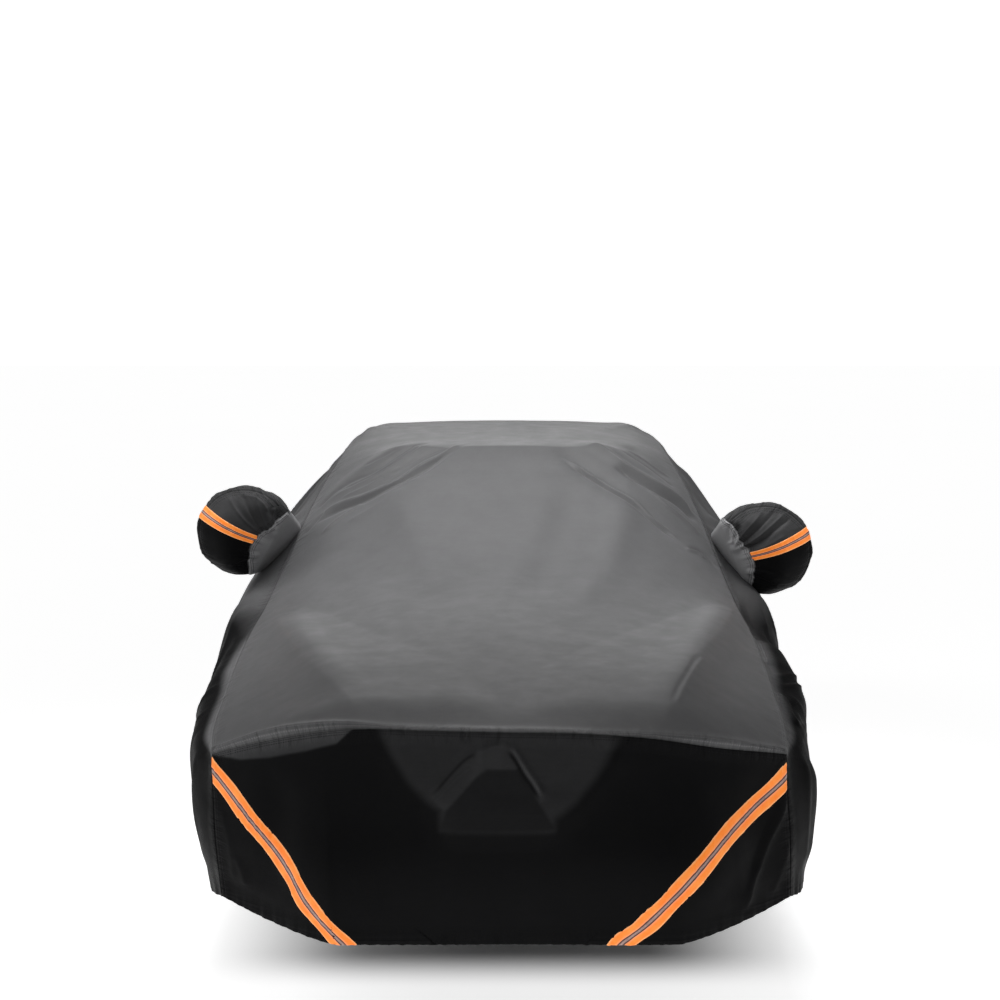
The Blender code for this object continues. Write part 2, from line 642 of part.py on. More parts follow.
# ---------------------------------------------------------------- mirror pockets
# centre of the disc, its radius and the slope of its tape in degrees
POCKETS = {
    "left": ((-0.858, 1.800, 1.173), 0.148, 28.0),
    "right": ((0.874, 1.800, 1.110), 0.157, 22.0),
}
POCKET_ANGLE = 128.0             # the disc's edge runs this far up and down
POCKET_ROWS = (128, 106, 84, 64, 44, 26)
POCKET_TAPE = 0.046
POCKET_COLUMNS = (0.0, 0.12, 0.30, 0.52, 0.74, 1.0)
POCKET_TAPE_COLUMNS = 4          # the tape ends at this column
POCKET_DEPTH = 0.062
POCKET_BLUNT = 0.65              # below 1 for blunt ends of the mouth
MOUTH_DEPTH = 0.075              # half-depth of the mouth
POCKET_SWEEP = 0.120             # the mouth lies this far behind the disc
NECK_BACK = 0.190                # from the mouth back into the cover
NECK_IN = 0.035
NECK_DROP = (0.095, 0.015)       # down, at the mouth's top and at its bottom
POCKET_WALL = 0.004              # the mouth's opening is this much smaller
POCKET_FOLDS = (                 # a is outward, b is up, from the disc's centre
    (-0.10, 0.02, 0.02, 0.13, 0.01, 0.014, 0.006),
    (-0.10, 0.01, 0.09, 0.10, -0.01, 0.014, -0.005),
    (-0.09, 0.03, -0.05, 0.12, 0.00, 0.013, -0.005),
    (-0.08, -0.04, 0.05, -0.12, 0.01, 0.018, 0.005),
    (-0.08, -0.06, 0.00, -0.13, 0.00, 0.014, -0.004),
)


def pocket_angles(radius):
    """Angles of the rows, from the top of the mouth round to its bottom."""
    edge = math.degrees(math.asin(POCKET_TAPE / 2 / radius))
    upper = list(POCKET_ROWS) + [edge]
    return upper + [0.0] + [-angle for angle in reversed(upper)]


def pocket_skin(side):
    """Both faces of a pocket as one grid: rows round the disc, columns across."""
    centre, radius, slope = POCKETS[side]
    sign = 1 if side == "right" else -1
    slope = math.radians(slope)
    outward = np.array((sign * math.cos(slope), 0.0, math.sin(slope)))
    upward = np.array((-sign * math.sin(slope), 0.0, math.cos(slope)))
    columns = [-c for c in POCKET_COLUMNS[:0:-1]] + list(POCKET_COLUMNS)
    points = []
    lifts = []
    for angle in pocket_angles(radius):
        turn = math.radians(angle)
        share = (POCKET_ANGLE - angle) / (2 * POCKET_ANGLE)
        full = math.sin(math.pi * share) ** POCKET_BLUNT
        rim = radius * np.array((math.cos(turn), math.sin(turn)))
        mouth = radius * np.array((math.cos(math.radians(POCKET_ANGLE)),
                                   math.sin(math.radians(POCKET_ANGLE)) * math.cos(math.pi * share)))
        row = []
        row_lifts = []
        for across in columns:
            part = abs(across)
            flat = rim + (mouth - rim) * part
            depth = MOUTH_DEPTH * full * math.sqrt(part) + POCKET_DEPTH * full * math.sin(math.pi * part)
            inner = (radius - flat[0]) / (radius - mouth[0])
            back = POCKET_SWEEP * inner ** 2 + math.copysign(depth, across)
            row.append(centre + outward * flat[0] + upward * flat[1] + np.array((0.0, back, 0.0)))
            row_lifts.append(float(fold_lift(POCKET_FOLDS, flat[0], flat[1])) * min(full * 2, 1.0))
        drop = NECK_DROP[0] + (NECK_DROP[1] - NECK_DROP[0]) * share
        neck = np.array((-sign * NECK_IN, NECK_BACK, -drop))
        row = [row[0] + neck] + row + [row[-1] + neck]
        points.append(row)
        lifts.append([0.0] + row_lifts + [0.0])
    skin = Skin()
    skin.add_grid("pocket", np.array(points), np.array(lifts), flip=side == "left")
    skin.finish()
    return skin


def pocket_inside(side, skin):
    """Solid inside of a pocket, down its neck; it opens the panels behind it."""
    points = skin.points - skin.normals * POCKET_WALL
    faces = skin.cells("pocket")
    grid = skin.grids["pocket"]
    rim = [int(n) for n in grid[:, 0]] + [int(n) for n in grid[::-1, -1]]
    rim = [n for i, n in enumerate(rim) if n != rim[i - 1]]
    faces.append(rim)
    mesh = bpy.data.meshes.new("pocket_inside_" + side)
    mesh.from_pydata(points.tolist(), [], faces)
    mesh.validate()
    face_outward(mesh)
    return add_object("pocket_inside_" + side, mesh)


def build_pockets(panels, inside):
    """A pocket on each side: an upper and a lower half, and the tape round it."""
    half = CLOTH / 2
    for side in POCKETS:
        skin = pocket_skin(side)
        rows = skin.grids["pocket"].shape[0]
        middle = (rows - 1) // 2
        edge = len(POCKET_COLUMNS)
        halves = (
            ("mirror_pocket_upper_" + side, lambda row, col: row < middle, "side_cloth"),
            ("mirror_pocket_lower_" + side, lambda row, col: row >= middle, "black_cloth"),
        )
        for name, keep, slot in halves:
            mesh = shell_mesh(name, skin, skin.cells("pocket", keep), -half, half)
            cut(add_object(name, mesh, slot), inside)

        def on_tape(row, col):
            return middle - 1 <= row <= middle and abs(col + 0.5 - edge) < POCKET_TAPE_COLUMNS
        low = half + GAP
        mesh = shell_mesh("pocket_tape_" + side, skin, skin.cells("pocket", on_tape), low, low + TAPE)
        add_object("pocket_tape_" + side, mesh, "reflective_tape")
        opening = pocket_inside(side, skin)
        for name in ("top_panel", "side_panel_" + side):
            cut(panels[name], opening)


# ---------------------------------------------------------------- strap and tie
STRAP_PLACE = 2.30               # behind the nose
STRAP_WIDTH = 0.020
STRAP_THICK = 0.002
STRAP_DROP = 0.085               # from the hem to the buckle's bar
STRAP_CLEAR = 0.0016             # under the sloping turn of the hem
BAR = 0.0045                     # thickness of the buckle, also of its bar
BAR_PLAY = 0.0006
BUCKLE_WINDOW = (0.024, 0.0085)  # width and height of the slot under the bar
# Right half of the buckle's outline, y and z from its bar, top to bottom.
BUCKLE_HALF = (
    (0.0160, 0.0022), (0.0160, -0.0170), (0.0140, -0.0260), (0.0165, -0.0310),
    (0.0120, -0.0370), (0.0095, -0.0300), (0.0085, -0.0185), (0.0030, -0.0185),
    (0.0030, -0.0310),
)
TIE = 0.004
TIE_ROUTE = (                    # from the turned hem down to the ground
    (0.8818, 4.270, 0.4272), (0.882, 4.271, 0.380), (0.887, 4.278, 0.300),
    (0.887, 4.288, 0.200), (0.897, 4.296, 0.110), (0.905, 4.302, 0.045),
    (0.913, 4.322, 0.010), (0.923, 4.362, 0.0023), (0.939, 4.410, 0.0023),
    (0.959, 4.450, 0.0023),
)
TIE_POINTS = 32


def hem_point(skin, station_y):
    """Point of the right-hand turned hem at a distance behind the nose."""
    row = skin.points[skin.grids["right"][-1]]
    return np.array([np.interp(station_y, row[:, 1], row[:, i]) for i in range(3)])


def build_strap(skin):
    """Short webbing strap under the right-hand hem, folded round its buckle's bar."""
    hem = hem_point(skin, STRAP_PLACE)
    bar = (hem[0], STRAP_PLACE, hem[2] - CLOTH / 2 - STRAP_CLEAR - STRAP_DROP)
    inner = math.hypot(BAR, BAR) / 2 + BAR_PLAY
    outer = inner + STRAP_THICK
    arc = [math.pi * (1 + i / 10) for i in range(11)]
    outline = [(outer * math.cos(a), outer * math.sin(a)) for a in arc]
    outline += [(STRAP_THICK, 0.4 * STRAP_DROP), (STRAP_THICK, STRAP_DROP),
                (-STRAP_THICK, STRAP_DROP), (-STRAP_THICK, 0.4 * STRAP_DROP)]
    slot = [(inner * math.cos(a), inner * math.sin(a)) for a in arc] + [(0.0, 0.2 * STRAP_DROP)]
    band = prism("side_strap", outline, -STRAP_WIDTH / 2, STRAP_WIDTH / 2)
    strap = add_object("side_strap", band, "webbing")
    opening = add_object("strap_slot", prism("strap_slot", slot, -STRAP_WIDTH, STRAP_WIDTH))
    cut(strap, opening)

    half = list(BUCKLE_HALF)
    outline = half + [(-y, z) for y, z in reversed(half)]
    plate = prism("strap_buckle", outline, -BAR / 2, BAR / 2)
    buckle = add_object("strap_buckle", plate, "black_plastic")
    width, height = BUCKLE_WINDOW
    top = -BAR / 2
    window = [(-width / 2, top), (width / 2, top), (width / 2, top - height), (-width / 2, top - height)]
    hole = add_object("buckle_window", prism("buckle_window", window, -BAR, BAR))
    cut(buckle, hole)
    for piece in (strap, opening, buckle, hole):
        piece.location = bar
    for piece in (buckle, hole):
        piece.rotation_euler = (0.0, 0.0, math.pi / 2)


def build_tie():
    """Thin tie that hangs from the hem to the ground, with a free end."""
    place = np.linspace(0, len(TIE_ROUTE) - 1, TIE_POINTS)
    route = np.stack([smooth([p[i] for p in TIE_ROUTE], place) for i in range(3)], axis=1)
    curve = bpy.data.curves.new("rear_tie", "CURVE")
    curve.dimensions = "3D"
    curve.bevel_depth = TIE / 2
    curve.bevel_resolution = 2
    curve.use_fill_caps = True
    spline = curve.splines.new("POLY")
    spline.points.add(TIE_POINTS - 1)
    for point, at in zip(spline.points, route):
        point.co = (*at, 1.0)
    add_object("rear_tie", curve, "tie_cord")


def main():
    for old in list(bpy.data.objects):
        bpy.data.objects.remove(old, do_unlink=True)
    skin = cover_skin()
    skin.finish()
    panels = build_panels(skin)
    build_front_tapes(skin)
    build_pockets(panels, inside_solid(skin))
    build_strap(skin)
    build_tie()
    roof_x = LEAN * (REST_Z - LEAN_LEVEL)
    for piece in bpy.data.objects:
        piece.location = piece.location - Vector((roof_x, REST_Y, REST_Z))


main()
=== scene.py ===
"""Looks of the fitted cover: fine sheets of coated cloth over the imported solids.

The shapes follow the same named sizes and tables as the solids.  They are
worked out in a working frame, with X to the right of someone who looks at the
nose, Y back from the nose and Z up from the ground, and every mesh is moved by
ORIGIN when it is made.  All sizes are in metres.
"""
import math

import bpy
import numpy as np
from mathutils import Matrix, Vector
from mathutils.bvhtree import BVHTree


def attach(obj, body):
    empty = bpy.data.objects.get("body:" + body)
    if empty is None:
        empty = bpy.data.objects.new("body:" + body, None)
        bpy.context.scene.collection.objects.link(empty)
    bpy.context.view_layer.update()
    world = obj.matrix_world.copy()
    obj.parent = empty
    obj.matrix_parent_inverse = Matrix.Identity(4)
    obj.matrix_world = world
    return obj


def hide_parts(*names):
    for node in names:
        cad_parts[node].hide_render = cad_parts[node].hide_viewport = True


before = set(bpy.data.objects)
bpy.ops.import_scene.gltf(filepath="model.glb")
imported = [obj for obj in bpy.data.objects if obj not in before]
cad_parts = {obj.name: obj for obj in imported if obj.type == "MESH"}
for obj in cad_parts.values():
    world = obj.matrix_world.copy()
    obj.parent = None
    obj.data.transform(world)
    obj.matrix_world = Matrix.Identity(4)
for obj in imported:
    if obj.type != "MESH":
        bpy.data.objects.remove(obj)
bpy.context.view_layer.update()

# ---------------------------------------------------------------- sizes
CLOTH = 0.002            # thickness of the solids' cloth: the sheets lie on its outer face
TAPE_WIDTHS = {"left": 0.054, "right": 0.060}
LEAN = 0.030             # shift to the right for each metre of height
LEAN_LEVEL = 1.03
LEAN_TURN = 0.70         # below this height the cover leans back again
LEAN_BACK = 0.090
LEAN_SOFT = 0.06
REST_Y = 2.70
REST_Z = 1.448
ORIGIN = np.array((LEAN * (REST_Z - LEAN_LEVEL), REST_Y, REST_Z))
PLAN_POWER = 2.2
HEM_STRAIGHT = 0.58      # share of the front hem's half-width that is straight
HEM_POWER = 1.3

# One row for each cross-section, nose to tail, as in the solids.
STATION_COLUMNS = (
    "crown_y", "crown_z", "seam_y", "seam_x", "seam_z", "belt_x", "belt_z",
    "wide_x", "wide_z", "hem_x", "hem_z", "square")
STATIONS = (
    (0.00, 0.862, 0.30, 0.790, 0.740, 0.790, 0.630, 0.792, 0.500, 0.785, 0.340, 2.3),
    (0.16, 0.895, 0.41, 0.800, 0.770, 0.845, 0.700, 0.858, 0.560, 0.826, 0.325, 2.3),
    (0.36, 0.925, 0.56, 0.803, 0.797, 0.876, 0.730, 0.884, 0.580, 0.849, 0.322, 2.3),
    (0.60, 0.958, 0.76, 0.800, 0.828, 0.884, 0.760, 0.892, 0.600, 0.863, 0.345, 2.3),
    (0.85, 0.990, 0.97, 0.800, 0.858, 0.890, 0.790, 0.900, 0.620, 0.876, 0.385, 2.3),
    (1.10, 1.022, 1.18, 0.796, 0.885, 0.888, 0.820, 0.904, 0.640, 0.882, 0.410, 2.4),
    (1.32, 1.054, 1.38, 0.785, 0.915, 0.874, 0.860, 0.905, 0.660, 0.883, 0.420, 2.5),
    (1.50, 1.095, 1.56, 0.768, 0.948, 0.865, 0.900, 0.905, 0.680, 0.883, 0.420, 2.6),
    (1.68, 1.168, 1.74, 0.750, 0.995, 0.863, 0.935, 0.905, 0.690, 0.883, 0.420, 2.8),
    (1.86, 1.255, 1.92, 0.722, 1.070, 0.862, 0.960, 0.905, 0.700, 0.884, 0.415, 3.0),
    (2.03, 1.340, 2.08, 0.683, 1.170, 0.860, 0.970, 0.905, 0.700, 0.884, 0.410, 3.4),
    (2.20, 1.408, 2.25, 0.632, 1.280, 0.850, 0.975, 0.903, 0.700, 0.884, 0.408, 4.0),
    (2.42, 1.438, 2.45, 0.585, 1.360, 0.850, 0.975, 0.900, 0.700, 0.884, 0.405, 4.6),
    (2.70, 1.450, 2.72, 0.565, 1.392, 0.848, 0.975, 0.897, 0.700, 0.884, 0.405, 5.0),
    (3.00, 1.443, 3.00, 0.560, 1.388, 0.848, 0.975, 0.897, 0.700, 0.884, 0.410, 5.0),
    (3.28, 1.420, 3.27, 0.560, 1.365, 0.846, 0.980, 0.897, 0.700, 0.884, 0.415, 4.6),
    (3.55, 1.360, 3.52, 0.572, 1.305, 0.844, 0.980, 0.897, 0.710, 0.884, 0.430, 4.0),
    (3.82, 1.270, 3.78, 0.605, 1.205, 0.838, 0.980, 0.907, 0.720, 0.893, 0.440, 3.4),
    (4.06, 1.178, 4.02, 0.660, 1.105, 0.828, 0.980, 0.902, 0.730, 0.888, 0.440, 3.0),
    (4.26, 1.122, 4.21, 0.700, 1.045, 0.822, 0.970, 0.901, 0.730, 0.894, 0.430, 2.8),
    (4.50, 1.098, 4.42, 0.718, 1.018, 0.810, 0.945, 0.890, 0.720, 0.885, 0.410, 2.6),
    (4.68, 1.088, 4.57, 0.722, 1.003, 0.785, 0.910, 0.840, 0.700, 0.830, 0.390, 2.5),
    (4.80, 1.066, 4.67, 0.718, 0.984, 0.735, 0.850, 0.755, 0.650, 0.750, 0.380, 2.5),
)
LAST = len(STATIONS) - 1
FRONT_MIDDLE = ((0.000, 0.862), (-0.020, 0.640), (-0.022, 0.480), (0.030, 0.283))
REAR_MIDDLE = ((4.800, 1.066), (4.835, 0.860), (4.830, 0.640), (4.740, 0.372))
NOSE_LIFT = (0.000, 0.014, 0.020, 0.007, 0.000, -0.001, -0.004, -0.012, 0.000)
NOSE_REACH = 1.6
CORNER_REACH = 3.0
HEM_TURN = 0.018
HEM_RISE = 0.005
FADE = 0.06
FOLD_END = 0.25

# Spacing of the fine grids.
BONNET_STEP = 0.0150     # rows of the top sheet
SCREEN_STEP = 0.0041
ROOF_STEP = 0.032
SCREEN = (1.66, 2.42)    # the finest rows lie between these distances from the nose
SIDE_STEP = 0.014
SEAM_COLUMNS = (0.0, 0.0022, 0.0045, 0.0075, 0.012, 0.018, 0.025)   # distances from a seam
SHADE_LINE = (0.690, 0.160, 0.93)            # the sides are painted paler above this line, as painted light where the cloth turns up: height, slope, limit
ACROSS_STEP = 0.0064
# How much painted light the sides carry above SHADE_LINE, less on the right than on the left: distance
# behind the nose and shade.
SIDE_SHADES = {
    -1: ((0.0, 0.90), (1.00, 0.90), (1.35, 0.55), (1.50, 0.48), (1.95, 0.60), (2.40, 0.42), (4.80, 0.38)),
    1: ((0.0, 0.40), (0.60, 0.50), (1.20, 0.45), (1.50, 0.26), (1.95, 0.36), (2.40, 0.42), (4.80, 0.38)),
}
END_STEP = 0.0046
DOWN_STEPS = 84
FRONT_DOWN = 150
HEM_ROWS = (0.002, 0.006, 0.011, 0.018)      # inward along the turned hem

# ---------------------------------------------------------------- folds
# The solids' main folds: both ends (from_a, from_b, to_a, to_b) in the panel's
# own plane, how far the middle bows aside, half-width and height.
TOP_FOLDS = (                    # a is x, b is y
    (-0.10, 2.28, -0.60, 1.94, 0.05, 0.045, -0.009),
    (-0.22, 2.30, -0.66, 2.10, 0.02, 0.040, 0.009),
    (0.14, 2.24, 0.68, 1.80, -0.03, 0.045, -0.010),
    (0.24, 2.28, 0.68, 2.08, -0.02, 0.040, 0.009),
    (0.42, 2.34, 0.60, 2.18, 0.00, 0.040, -0.007),
    (-0.75, 1.45, -0.40, 0.18, 0.03, 0.070, 0.018),
    (0.77, 1.62, 0.43, 0.10, -0.03, 0.070, 0.021),
    (0.44, 2.10, 0.22, 1.10, 0.02, 0.060, 0.011),
    (0.26, 2.05, 0.08, 1.20, 0.00, 0.060, -0.009),
    (-0.36, 2.05, -0.16, 1.20, 0.00, 0.060, 0.009),
    (-0.48, 2.55, -0.42, 3.30, 0.02, 0.070, 0.011),
    (0.46, 2.60, 0.50, 3.30, 0.02, 0.060, 0.012),
    (0.50, 3.30, 0.24, 3.95, -0.03, 0.060, 0.015),
    (-0.50, 3.35, -0.18, 3.98, 0.03, 0.060, 0.015),
    (0.62, 4.05, 0.34, 4.62, 0.02, 0.055, 0.012),
    (-0.60, 4.10, -0.30, 4.66, 0.02, 0.055, -0.012),
)
RIGHT_FOLDS = (                  # a is y, b is z
    (1.86, 0.98, 1.02, 0.46, -0.03, 0.060, 0.012),
    (1.72, 0.95, 0.86, 0.62, -0.04, 0.050, -0.020),
    (1.40, 0.88, 0.72, 0.70, -0.02, 0.050, 0.017),
    (1.98, 0.96, 2.52, 0.92, -0.17, 0.060, 0.031),
    (2.02, 0.84, 2.56, 0.74, -0.12, 0.055, -0.024),
    (2.10, 1.20, 2.48, 1.00, -0.03, 0.055, 0.024),
    (2.80, 1.34, 2.58, 1.02, 0.03, 0.055, 0.024),
    (3.05, 1.34, 2.90, 1.02, 0.02, 0.055, -0.020),
    (3.45, 1.26, 3.20, 0.96, 0.02, 0.055, 0.022),
    (2.62, 0.94, 3.34, 0.72, -0.06, 0.060, 0.024),
    (2.64, 0.74, 3.60, 0.58, -0.03, 0.065, -0.017),
    (3.86, 1.12, 4.34, 0.76, 0.03, 0.060, 0.020),
    (0.44, 0.72, 0.50, 0.36, 0.01, 0.045, 0.017),
    (0.62, 0.76, 0.60, 0.38, 0.01, 0.045, -0.017),
)
LEFT_FOLDS = (                   # a is y, b is z
    (1.80, 0.96, 1.10, 0.50, -0.03, 0.060, 0.012),
    (1.62, 0.92, 0.80, 0.66, -0.03, 0.050, -0.020),
    (1.96, 0.94, 2.64, 0.90, -0.15, 0.060, 0.027),
    (2.06, 0.80, 2.90, 0.74, -0.10, 0.060, -0.020),
    (2.16, 1.18, 2.60, 0.98, -0.03, 0.055, 0.020),
    (2.95, 1.32, 2.70, 1.00, 0.02, 0.055, -0.020),
    (3.40, 1.26, 3.12, 0.96, 0.02, 0.055, 0.022),
    (2.90, 0.88, 3.60, 0.66, -0.05, 0.060, 0.020),
    (3.90, 1.10, 4.32, 0.74, 0.03, 0.060, 0.019),
    (0.46, 0.73, 0.48, 0.36, 0.01, 0.045, -0.012),
    (0.70, 0.78, 0.66, 0.40, 0.01, 0.045, -0.015),
)
FRONT_FOLDS = (                  # a is x, b is z
    (-0.22, 0.64, 0.24, 0.64, 0.00, 0.075, 0.031),
    (-0.31, 0.84, -0.12, 0.62, 0.00, 0.045, 0.012),
    (0.34, 0.82, 0.14, 0.62, 0.00, 0.045, 0.012),
    (-0.07, 0.83, 0.02, 0.83, 0.00, 0.050, 0.014),
    (0.50, 0.76, 0.56, 0.36, 0.02, 0.055, 0.010),
    (0.68, 0.72, 0.70, 0.40, 0.01, 0.050, -0.010),
    (-0.60, 0.74, -0.66, 0.38, 0.02, 0.055, -0.010),
)
REAR_FOLDS = (                   # a is x, b is z
    (-0.56, 0.94, -0.34, 0.50, 0.03, 0.060, 0.019),
    (-0.20, 0.98, -0.10, 0.46, 0.01, 0.060, -0.014),
    (0.22, 0.98, 0.16, 0.50, 0.02, 0.060, 0.016),
    (0.58, 0.92, 0.40, 0.46, -0.03, 0.060, -0.018),
)

# Fine creases, drawn one by one.  Each is a line of points in the panel's own
# plane; wide is the half-width on its left as it runs, narrow the one on its
# right, and height is below zero for a trough.
TOP_CREASES = (                  # points are x, y; height, wide, narrow
    # left of the windscreen
    (-0.0060, 0.007, 0.005, ((-0.249, 2.253), (-0.365, 2.165), (-0.444, 2.124), (-0.519, 2.120),
                             (-0.597, 2.110), (-0.640, 2.090))),
    (0.0067, 0.012, 0.009, ((-0.235, 2.240), (-0.350, 2.140), (-0.440, 2.096), (-0.520, 2.090),
                            (-0.600, 2.085))),
    (-0.0045, 0.007, 0.005, ((-0.249, 2.253), (-0.330, 2.154), (-0.419, 2.113), (-0.495, 2.100),
                             (-0.546, 2.095))),
    (-0.0033, 0.006, 0.006, ((-0.353, 2.209), (-0.400, 2.186), (-0.435, 2.177), (-0.474, 2.169))),
    (0.0128, 0.019, 0.009, ((-0.112, 2.260), (-0.192, 2.162), (-0.271, 2.107), (-0.348, 2.052),
                            (-0.416, 2.025), (-0.485, 2.015), (-0.570, 2.030), (-0.649, 2.040))),
    (-0.0105, 0.009, 0.015, ((-0.104, 2.227), (-0.247, 2.090), (-0.330, 2.036), (-0.415, 2.003),
                             (-0.480, 1.990), (-0.560, 2.000), (-0.650, 2.010))),
    (0.0060, 0.007, 0.009, ((-0.472, 1.985), (-0.512, 1.965), (-0.566, 1.945), (-0.610, 1.915))),
    (-0.0042, 0.007, 0.007, ((-0.191, 2.198), (-0.271, 2.150), (-0.362, 2.091), (-0.430, 2.076))),
    (0.0045, 0.009, 0.009, ((-0.330, 2.118), (-0.400, 2.080), (-0.470, 2.056), (-0.560, 2.060))),
    (-0.0053, 0.006, 0.006, ((-0.600, 2.040), (-0.640, 2.020), (-0.675, 1.990))),
    (0.0033, 0.015, 0.015, ((-0.330, 1.990), (-0.420, 1.930), (-0.540, 1.900))),
    # right of the windscreen
    (0.0097, 0.008, 0.007, ((0.196, 2.145), (0.267, 2.084), (0.320, 2.041), (0.380, 1.994),
                            (0.447, 1.962), (0.499, 1.920), (0.545, 1.895), (0.604, 1.868))),
    (-0.0075, 0.005, 0.007, ((0.205, 2.122), (0.276, 2.061), (0.330, 2.018), (0.390, 1.971),
                             (0.455, 1.940), (0.507, 1.900), (0.553, 1.876), (0.600, 1.852))),
    (0.0042, 0.006, 0.006, ((0.330, 2.000), (0.400, 1.950), (0.470, 1.912), (0.530, 1.872))),
    (0.0135, 0.011, 0.018, ((0.287, 2.232), (0.346, 2.190), (0.408, 2.146), (0.468, 2.118),
                            (0.544, 2.100), (0.617, 2.090), (0.665, 2.060))),
    (-0.0120, 0.015, 0.009, ((0.380, 2.130), (0.450, 2.086), (0.530, 2.066), (0.610, 2.060),
                             (0.668, 2.035))),
    (0.0053, 0.007, 0.007, ((0.420, 2.269), (0.476, 2.245), (0.532, 2.225), (0.592, 2.215))),
    (-0.0045, 0.007, 0.007, ((0.404, 2.227), (0.487, 2.190), (0.556, 2.165), (0.598, 2.155))),
    (0.0075, 0.007, 0.009, ((0.500, 2.060), (0.560, 2.020), (0.620, 2.000), (0.675, 1.975))),
    (-0.0053, 0.006, 0.006, ((0.620, 1.842), (0.655, 1.868), (0.690, 1.860), (0.715, 1.820))),
    (0.0060, 0.007, 0.009, ((0.612, 1.822), (0.650, 1.846), (0.680, 1.836))),
    # along the right-hand bend
    (-0.0040, 0.008, 0.006, ((0.562, 0.700), (0.540, 0.625), (0.508, 0.480), (0.473, 0.334),
                             (0.448, 0.225))),
    (0.0032, 0.007, 0.009, ((0.576, 0.700), (0.553, 0.620), (0.521, 0.475), (0.486, 0.330),
                            (0.460, 0.225))),
    # windscreen down on to the bonnet
    (0.0035, 0.060, 0.060, ((-0.560, 1.780), (-0.420, 1.350), (-0.330, 0.850))),
    (-0.0030, 0.070, 0.060, ((0.330, 1.700), (0.300, 1.250), (0.200, 0.700))),
    (0.0028, 0.060, 0.070, ((0.060, 1.600), (-0.020, 1.100), (-0.100, 0.500))),
    (0.0030, 0.050, 0.050, ((0.600, 1.500), (0.500, 1.050), (0.300, 0.650))),
    # roof and tail
    (0.0060, 0.020, 0.020, ((0.300, 2.560), (0.420, 2.700), (0.520, 2.950))),
    (-0.0050, 0.018, 0.018, ((0.280, 3.350), (0.400, 3.200), (0.520, 3.000))),
    (0.0070, 0.020, 0.016, ((0.240, 3.560), (0.380, 3.380), (0.530, 3.150))),
    (0.0060, 0.022, 0.018, ((-0.260, 3.520), (-0.400, 3.360), (-0.520, 3.180))),
    (0.0055, 0.020, 0.020, ((-0.320, 2.620), (-0.440, 2.780), (-0.530, 3.000))),
    (-0.0060, 0.024, 0.018, ((0.600, 3.900), (0.380, 4.120), (0.200, 4.500))),
    (0.0060, 0.024, 0.018, ((-0.620, 3.950), (-0.400, 4.200), (-0.260, 4.560))),
    (0.0040, 0.030, 0.030, ((0.060, 3.500), (0.020, 4.000), (0.060, 4.600))),
)
# Sharp edges of the form under the cloth, as tents: height, half-width, points.
TOP_TENTS = (
    (0.0190, 0.160, ((-0.600, 2.290), (-0.357, 2.218), (-0.147, 2.192), (0.027, 2.192),
                     (0.202, 2.193), (0.342, 2.211), (0.600, 2.285))),
)
# The bends where the flat middle of the bonnet turns down to each side seam:
# distance behind the nose and distance from the middle.
FACETS = {
    -1: ((0.00, 0.350), (0.284, 0.426), (0.432, 0.482), (0.719, 0.572), (1.027, 0.646),
         (1.374, 0.715), (1.560, 0.750)),
    1: ((0.00, 0.385), (0.197, 0.442), (0.334, 0.473), (0.625, 0.540), (0.845, 0.597),
        (1.072, 0.659), (1.380, 0.718), (1.560, 0.755)),
}
FACET_SLOPE = 0.125      # slope added to the flank, and the most that a bend is lifted
FACET_LIMIT = 0.036
FACET_RISE = 0.090       # slope that lifts the middle towards a bend
FACET_ROUND = 0.010      # rounding of the bend, as a share
FRONT_CREASES = (                # points are x, z
    (0.0060, 0.020, 0.014, ((-0.195, 0.690), (-0.147, 0.741), (-0.106, 0.779), (-0.062, 0.809),
                            (-0.026, 0.826), (0.010, 0.826))),
    (0.0075, 0.009, 0.007, ((0.007, 0.845), (0.017, 0.821), (0.033, 0.800), (0.048, 0.782),
                            (0.067, 0.758), (0.086, 0.731), (0.101, 0.706), (0.116, 0.680))),
    (-0.0060, 0.007, 0.008, ((0.026, 0.833), (0.044, 0.806), (0.060, 0.786), (0.080, 0.756),
                             (0.098, 0.731), (0.112, 0.706))),
    (-0.0035, 0.008, 0.010, ((-0.186, 0.668), (-0.136, 0.722), (-0.100, 0.757), (-0.070, 0.778))),
    (0.0020, 0.006, 0.006, ((-0.010, 0.850), (0.004, 0.832), (0.014, 0.812))),
    (0.0100, 0.012, 0.020, ((0.776, 0.714), (0.775, 0.641), (0.766, 0.583), (0.735, 0.523),
                            (0.707, 0.461), (0.682, 0.421), (0.665, 0.370), (0.654, 0.330))),
    (-0.0050, 0.020, 0.014, ((0.745, 0.600), (0.712, 0.520), (0.680, 0.450), (0.650, 0.380))),
    (0.0045, 0.016, 0.016, ((0.800, 0.500), (0.770, 0.430), (0.735, 0.360))),
    (0.0035, 0.014, 0.014, ((-0.729, 0.474), (-0.710, 0.433), (-0.698, 0.390))),
    (0.0040, 0.020, 0.020, ((-0.770, 0.600), (-0.745, 0.500), (-0.735, 0.390))),
)
FRONT_TENTS = (                  # raised outline that the front cloth lies over
    (0.0120, 0.075, ((-0.149, 0.640), (-0.108, 0.700), (-0.084, 0.731), (-0.059, 0.761),
                     (-0.035, 0.768), (0.043, 0.765), (0.067, 0.745), (0.112, 0.686))),
    (0.0070, 0.060, ((-0.175, 0.600), (-0.083, 0.604), (0.074, 0.606), (0.150, 0.615))),
    (0.0040, 0.080, ((-0.330, 0.850), (-0.292, 0.768), (-0.242, 0.721), (-0.195, 0.680))),
    (0.0040, 0.080, ((0.330, 0.835), (0.284, 0.767), (0.243, 0.727), (0.206, 0.692),
                     (0.150, 0.645))),
)
